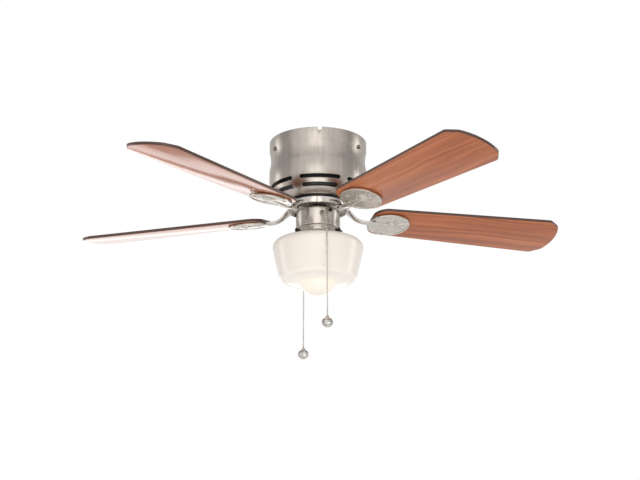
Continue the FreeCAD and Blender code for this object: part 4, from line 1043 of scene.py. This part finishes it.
def makeCollars():
    c = collar
    r, wall, top, bottom = c["radius"], c["wall"], c["top"], c["bottom"]
    outline = [(r - wall, top), (r - 0.2, top), (r, top - 0.4), (r, top - 2.2), (r - 0.35, top - 2.6)]
    outline += [(r - 0.35, top - 3.0), (r, top - 3.4), (r, bottom + 2.4)]
    outline += arc(outline[-1], (r - 0.6, bottom + 0.7), (r - 2.2, bottom + 0.05), 4)
    outline += [(c["screwBore"], bottom + 0.05), (c["screwBore"], bottom + wall), (r - wall - 1.5, bottom + wall)]
    outline += [(r - wall, bottom + wall + 1.5), (r - wall, top)]
    cup = turned("switchHousing", outline, 96)
    cutWindow(cup)
    top, bottom, r = c["fitterTop"], c["fitterBottom"], c["fitterRadius"]
    rim = c["rim"]
    outline = [(c["screwBore"], top), (r - 2.0, top)]
    outline += arc(outline[-1], (r - 0.6, top - 0.6), (r, top - 2.0), 4)
    outline += [(r, bottom + 2 * rim), (r + rim, bottom + 1.5 * rim)]
    outline += arc(outline[-1], (r + 1.5 * rim, bottom + rim), (r + rim, bottom), 5)
    outline += [(c["fitterInner"], bottom), (c["fitterInner"], top - 1.2), (c["screwBore"], top - 1.2)]
    outline.append(outline[0])
    fitter = turned("lightFitter", outline, 96)
    for piece, node in ((cup, "switch_housing"), (fitter, "light_fitter")):
        smoothed(piece, 30)
        dress(piece, "collar")
        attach(piece, "ceiling_unit")
        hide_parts(node)


def makeThumbScrews():
    # knurled head with a dished face, a neck and a plain tip
    c = collar
    neck = c["fitterRadius"] + 2.0
    outline = [(0, -7.0), (1.0, -7.0), (1.9, -6.3), (1.9, 0.0), (2.5, 0.0), (3.0, 0.5), (4.5, 0.5), (4.5, 3.6)]
    outline += [(4.0, 4.0), (2.6, 4.0), (1.8, 3.3), (0, 3.1)]
    model = turned("thumbScrewModel", outline, 36)

    def groove(co):
        step = round(math.atan2(co.y, co.x) / (turn / 36)) % 36
        return step % 2 == 0 and math.hypot(co.x, co.y) > 4.3 * mm

    pick(model, "VERT", groove)
    bpy.ops.transform.resize(value=(0.9, 0.9, 1.0), center_override=(0, 0, 0))
    objectMode()
    smoothed(model, 24)
    model.rotation_euler[1] = turn / 4
    model.location = Vector((neck, 0, c["thumbHeight"])) * mm
    settle(model)
    for n, angle in enumerate(c["thumbAngles"], 1):
        screw = twin(model, f"thumbScrew{n}", angle)
        dress(screw, "darkScrew")
        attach(screw, f"thumb_{n}")
        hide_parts(f"thumb_screw_{n}")
    bpy.data.objects.remove(model)


# ---- glass --------------------------------------------------------------------------

glass = {
    "neck": 41.3, "lip": 43.9, "lipTop": -193.9, "lipBottom": -196.1, "neckBottom": -205.7, "widest": (94.0, -229.7),
    "foot": (80.5, -291.7), "footDrop": 9.0, "nub": (38.0, -307.2), "nubHeight": 24.0, "wall": 3.0,
}


def glassCurve(inset):
    g = glass
    neck, (wideR, wideZ), (footR, footZ), (nubR, nubZ) = g["neck"], g["widest"], g["foot"], g["nub"]
    start = (neck - inset, g["neckBottom"])
    shoulder = (neck + 10.0 - inset * 0.3, g["neckBottom"] - 6.5 - inset)
    knee = (wideR - 15.0 - inset * 0.3, wideZ + 13.0 - inset)
    curve = [start]
    curve += arc(start, (neck + 2.8 - inset * 0.7, g["neckBottom"] - 4.4 - inset * 0.7), shoulder, 8)
    curve += arc(shoulder, ((shoulder[0] + knee[0]) / 2, (shoulder[1] + knee[1]) / 2 + 0.7), knee, 6)
    curve += arc(knee, (wideR - 3.9 - inset * 0.8, wideZ + 8.6 - inset * 0.7), (wideR - inset, wideZ), 12)
    curve += arc(curve[-1], ((wideR + footR) / 2 + 0.8 - inset, (wideZ + footZ) / 2), (footR - inset, footZ), 8)
    low = (footR - 8.0 - inset * 0.4, footZ - g["footDrop"] + inset)
    curve += arc(curve[-1], (footR - 1.7 - inset * 0.8, footZ - g["footDrop"] * 0.62 + inset * 0.5), low, 8)
    curve += [(low[0] - 1.2, low[1] - 0.1), (low[0] - 2.4, low[1] + 0.1)]
    curve += arc(curve[-1], (55.0, (low[1] + nubZ) / 2 + inset * 0.5 + 0.4), (nubR - inset * 0.4, nubZ + inset), 6)
    bottom = nubZ - g["nubHeight"] + inset
    side = (nubR * 0.62 - inset * 0.4, nubZ - g["nubHeight"] * 0.76 + inset)
    curve += arc(curve[-1], side, (2.0, bottom), 12)
    return curve + [(0, bottom)]


def makeGlass():
    g = glass
    outer = glassCurve(0.0)
    inner = glassCurve(g["wall"])
    lip = [(g["neck"] - g["wall"], g["lipTop"]), (g["lip"] - 0.6, g["lipTop"]), (g["lip"], g["lipTop"] - 0.7)]
    lip += [(g["lip"], g["lipBottom"] + 0.6), (g["lip"] - 0.6, g["lipBottom"]), (g["neck"] + 0.4, g["lipBottom"])]
    outline = lip + [(g["neck"], g["lipBottom"] - 0.6)] + outer + inner[::-1] + [lip[0]]
    shade = turned("glassShade", outline, 128)
    smoothed(shade, 50)
    dress(shade, "opal")
    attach(shade, "ceiling_unit")
    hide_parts("glass_shade")


# ---- room ---------------------------------------------------------------------------

def makeRoom():
    bpy.ops.mesh.primitive_circle_add(vertices=160, radius=11, fill_type="NGON", location=(0, 0, -view["floorDrop"] * mm))
    floor = bpy.context.object
    floor.name = "studioFloor"
    dress(floor, "floor")


studio = {"front": 0.95, "side": 0.47, "back": 0.7, "screen": 1.2, "backdrop": 1.0}


def makeWorld():
    # a tent: bright behind the camera and behind the fan, darker flags at the two sides
    scene = bpy.context.scene
    world = bpy.data.worlds.new("studio")
    scene.world = world
    world.use_nodes = True
    tree = world.node_tree
    light = tree.nodes["Background"]
    coords = tree.nodes.new("ShaderNodeTexCoord")
    split = tree.nodes.new("ShaderNodeSeparateXYZ")
    tree.links.new(coords.outputs["Generated"], split.inputs[0])
    ramp = tree.nodes.new("ShaderNodeValToRGB")
    stops = ((0.0, "front"), (0.16, "front"), (0.40, "side"), (0.60, "side"), (0.85, "back"))
    while len(ramp.color_ramp.elements) < len(stops):
        ramp.color_ramp.elements.new(0.5)
    for element, (place, key) in zip(ramp.color_ramp.elements, stops):
        element.position, element.color = place, (studio[key],) * 3 + (1,)
    ramp.color_ramp.interpolation = "EASE"
    depth = tree.nodes.new("ShaderNodeMapRange")
    depth.inputs["From Min"].default_value = -1
    tree.links.new(split.outputs["Y"], depth.inputs["Value"])
    tree.links.new(depth.outputs[0], ramp.inputs["Fac"])
    # a lit screen stands low behind the fan
    low = tree.nodes.new("ShaderNodeMapRange")
    low.interpolation_type = "SMOOTHSTEP"
    low.inputs["From Min"].default_value, low.inputs["From Max"].default_value = 0.26, 0.12
    tree.links.new(split.outputs["Z"], low.inputs["Value"])
    far = tree.nodes.new("ShaderNodeMapRange")
    far.interpolation_type = "SMOOTHSTEP"
    far.inputs["From Min"].default_value, far.inputs["From Max"].default_value = 0.80, 0.95
    tree.links.new(split.outputs["Y"], far.inputs["Value"])
    screen = tree.nodes.new("ShaderNodeMath")
    screen.operation = "MULTIPLY"
    tree.links.new(low.outputs[0], screen.inputs[0])
    tree.links.new(far.outputs[0], screen.inputs[1])
    lit = tree.nodes.new("ShaderNodeVectorMath")
    lit.operation = "MULTIPLY_ADD"
    tree.links.new(screen.outputs[0], lit.inputs[0])
    lit.inputs[1].default_value = (studio["screen"],) * 3
    tree.links.new(ramp.outputs["Color"], lit.inputs[2])
    tree.links.new(lit.outputs[0], light.inputs["Color"])
    path = tree.nodes.new("ShaderNodeLightPath")
    backdrop = tree.nodes.new("ShaderNodeBackground")
    backdrop.inputs["Strength"].default_value = studio["backdrop"]
    backdrop.inputs["Color"].default_value = (1, 1, 1, 1)
    mix = tree.nodes.new("ShaderNodeMixShader")
    tree.links.new(path.outputs["Is Camera Ray"], mix.inputs[0])
    tree.links.new(light.outputs[0], mix.inputs[1])
    tree.links.new(backdrop.outputs[0], mix.inputs[2])
    tree.links.new(mix.outputs[0], tree.nodes["World Output"].inputs["Surface"])
    scene.view_settings.view_transform = "Standard"


only(frame["nodes"]["motor_housing"])
makeFinishes()
print("finishes made")
addCamera()
makeChains()
print("chains hung")
dressKept()
makeHousing()
print("housing cut")
makeCollars()
makeThumbScrews()
makeGlass()
print("light kit turned")
makeBlades()
makeArms()
print("blades and arms made")
makeRoom()
makeWorld()
addLights()
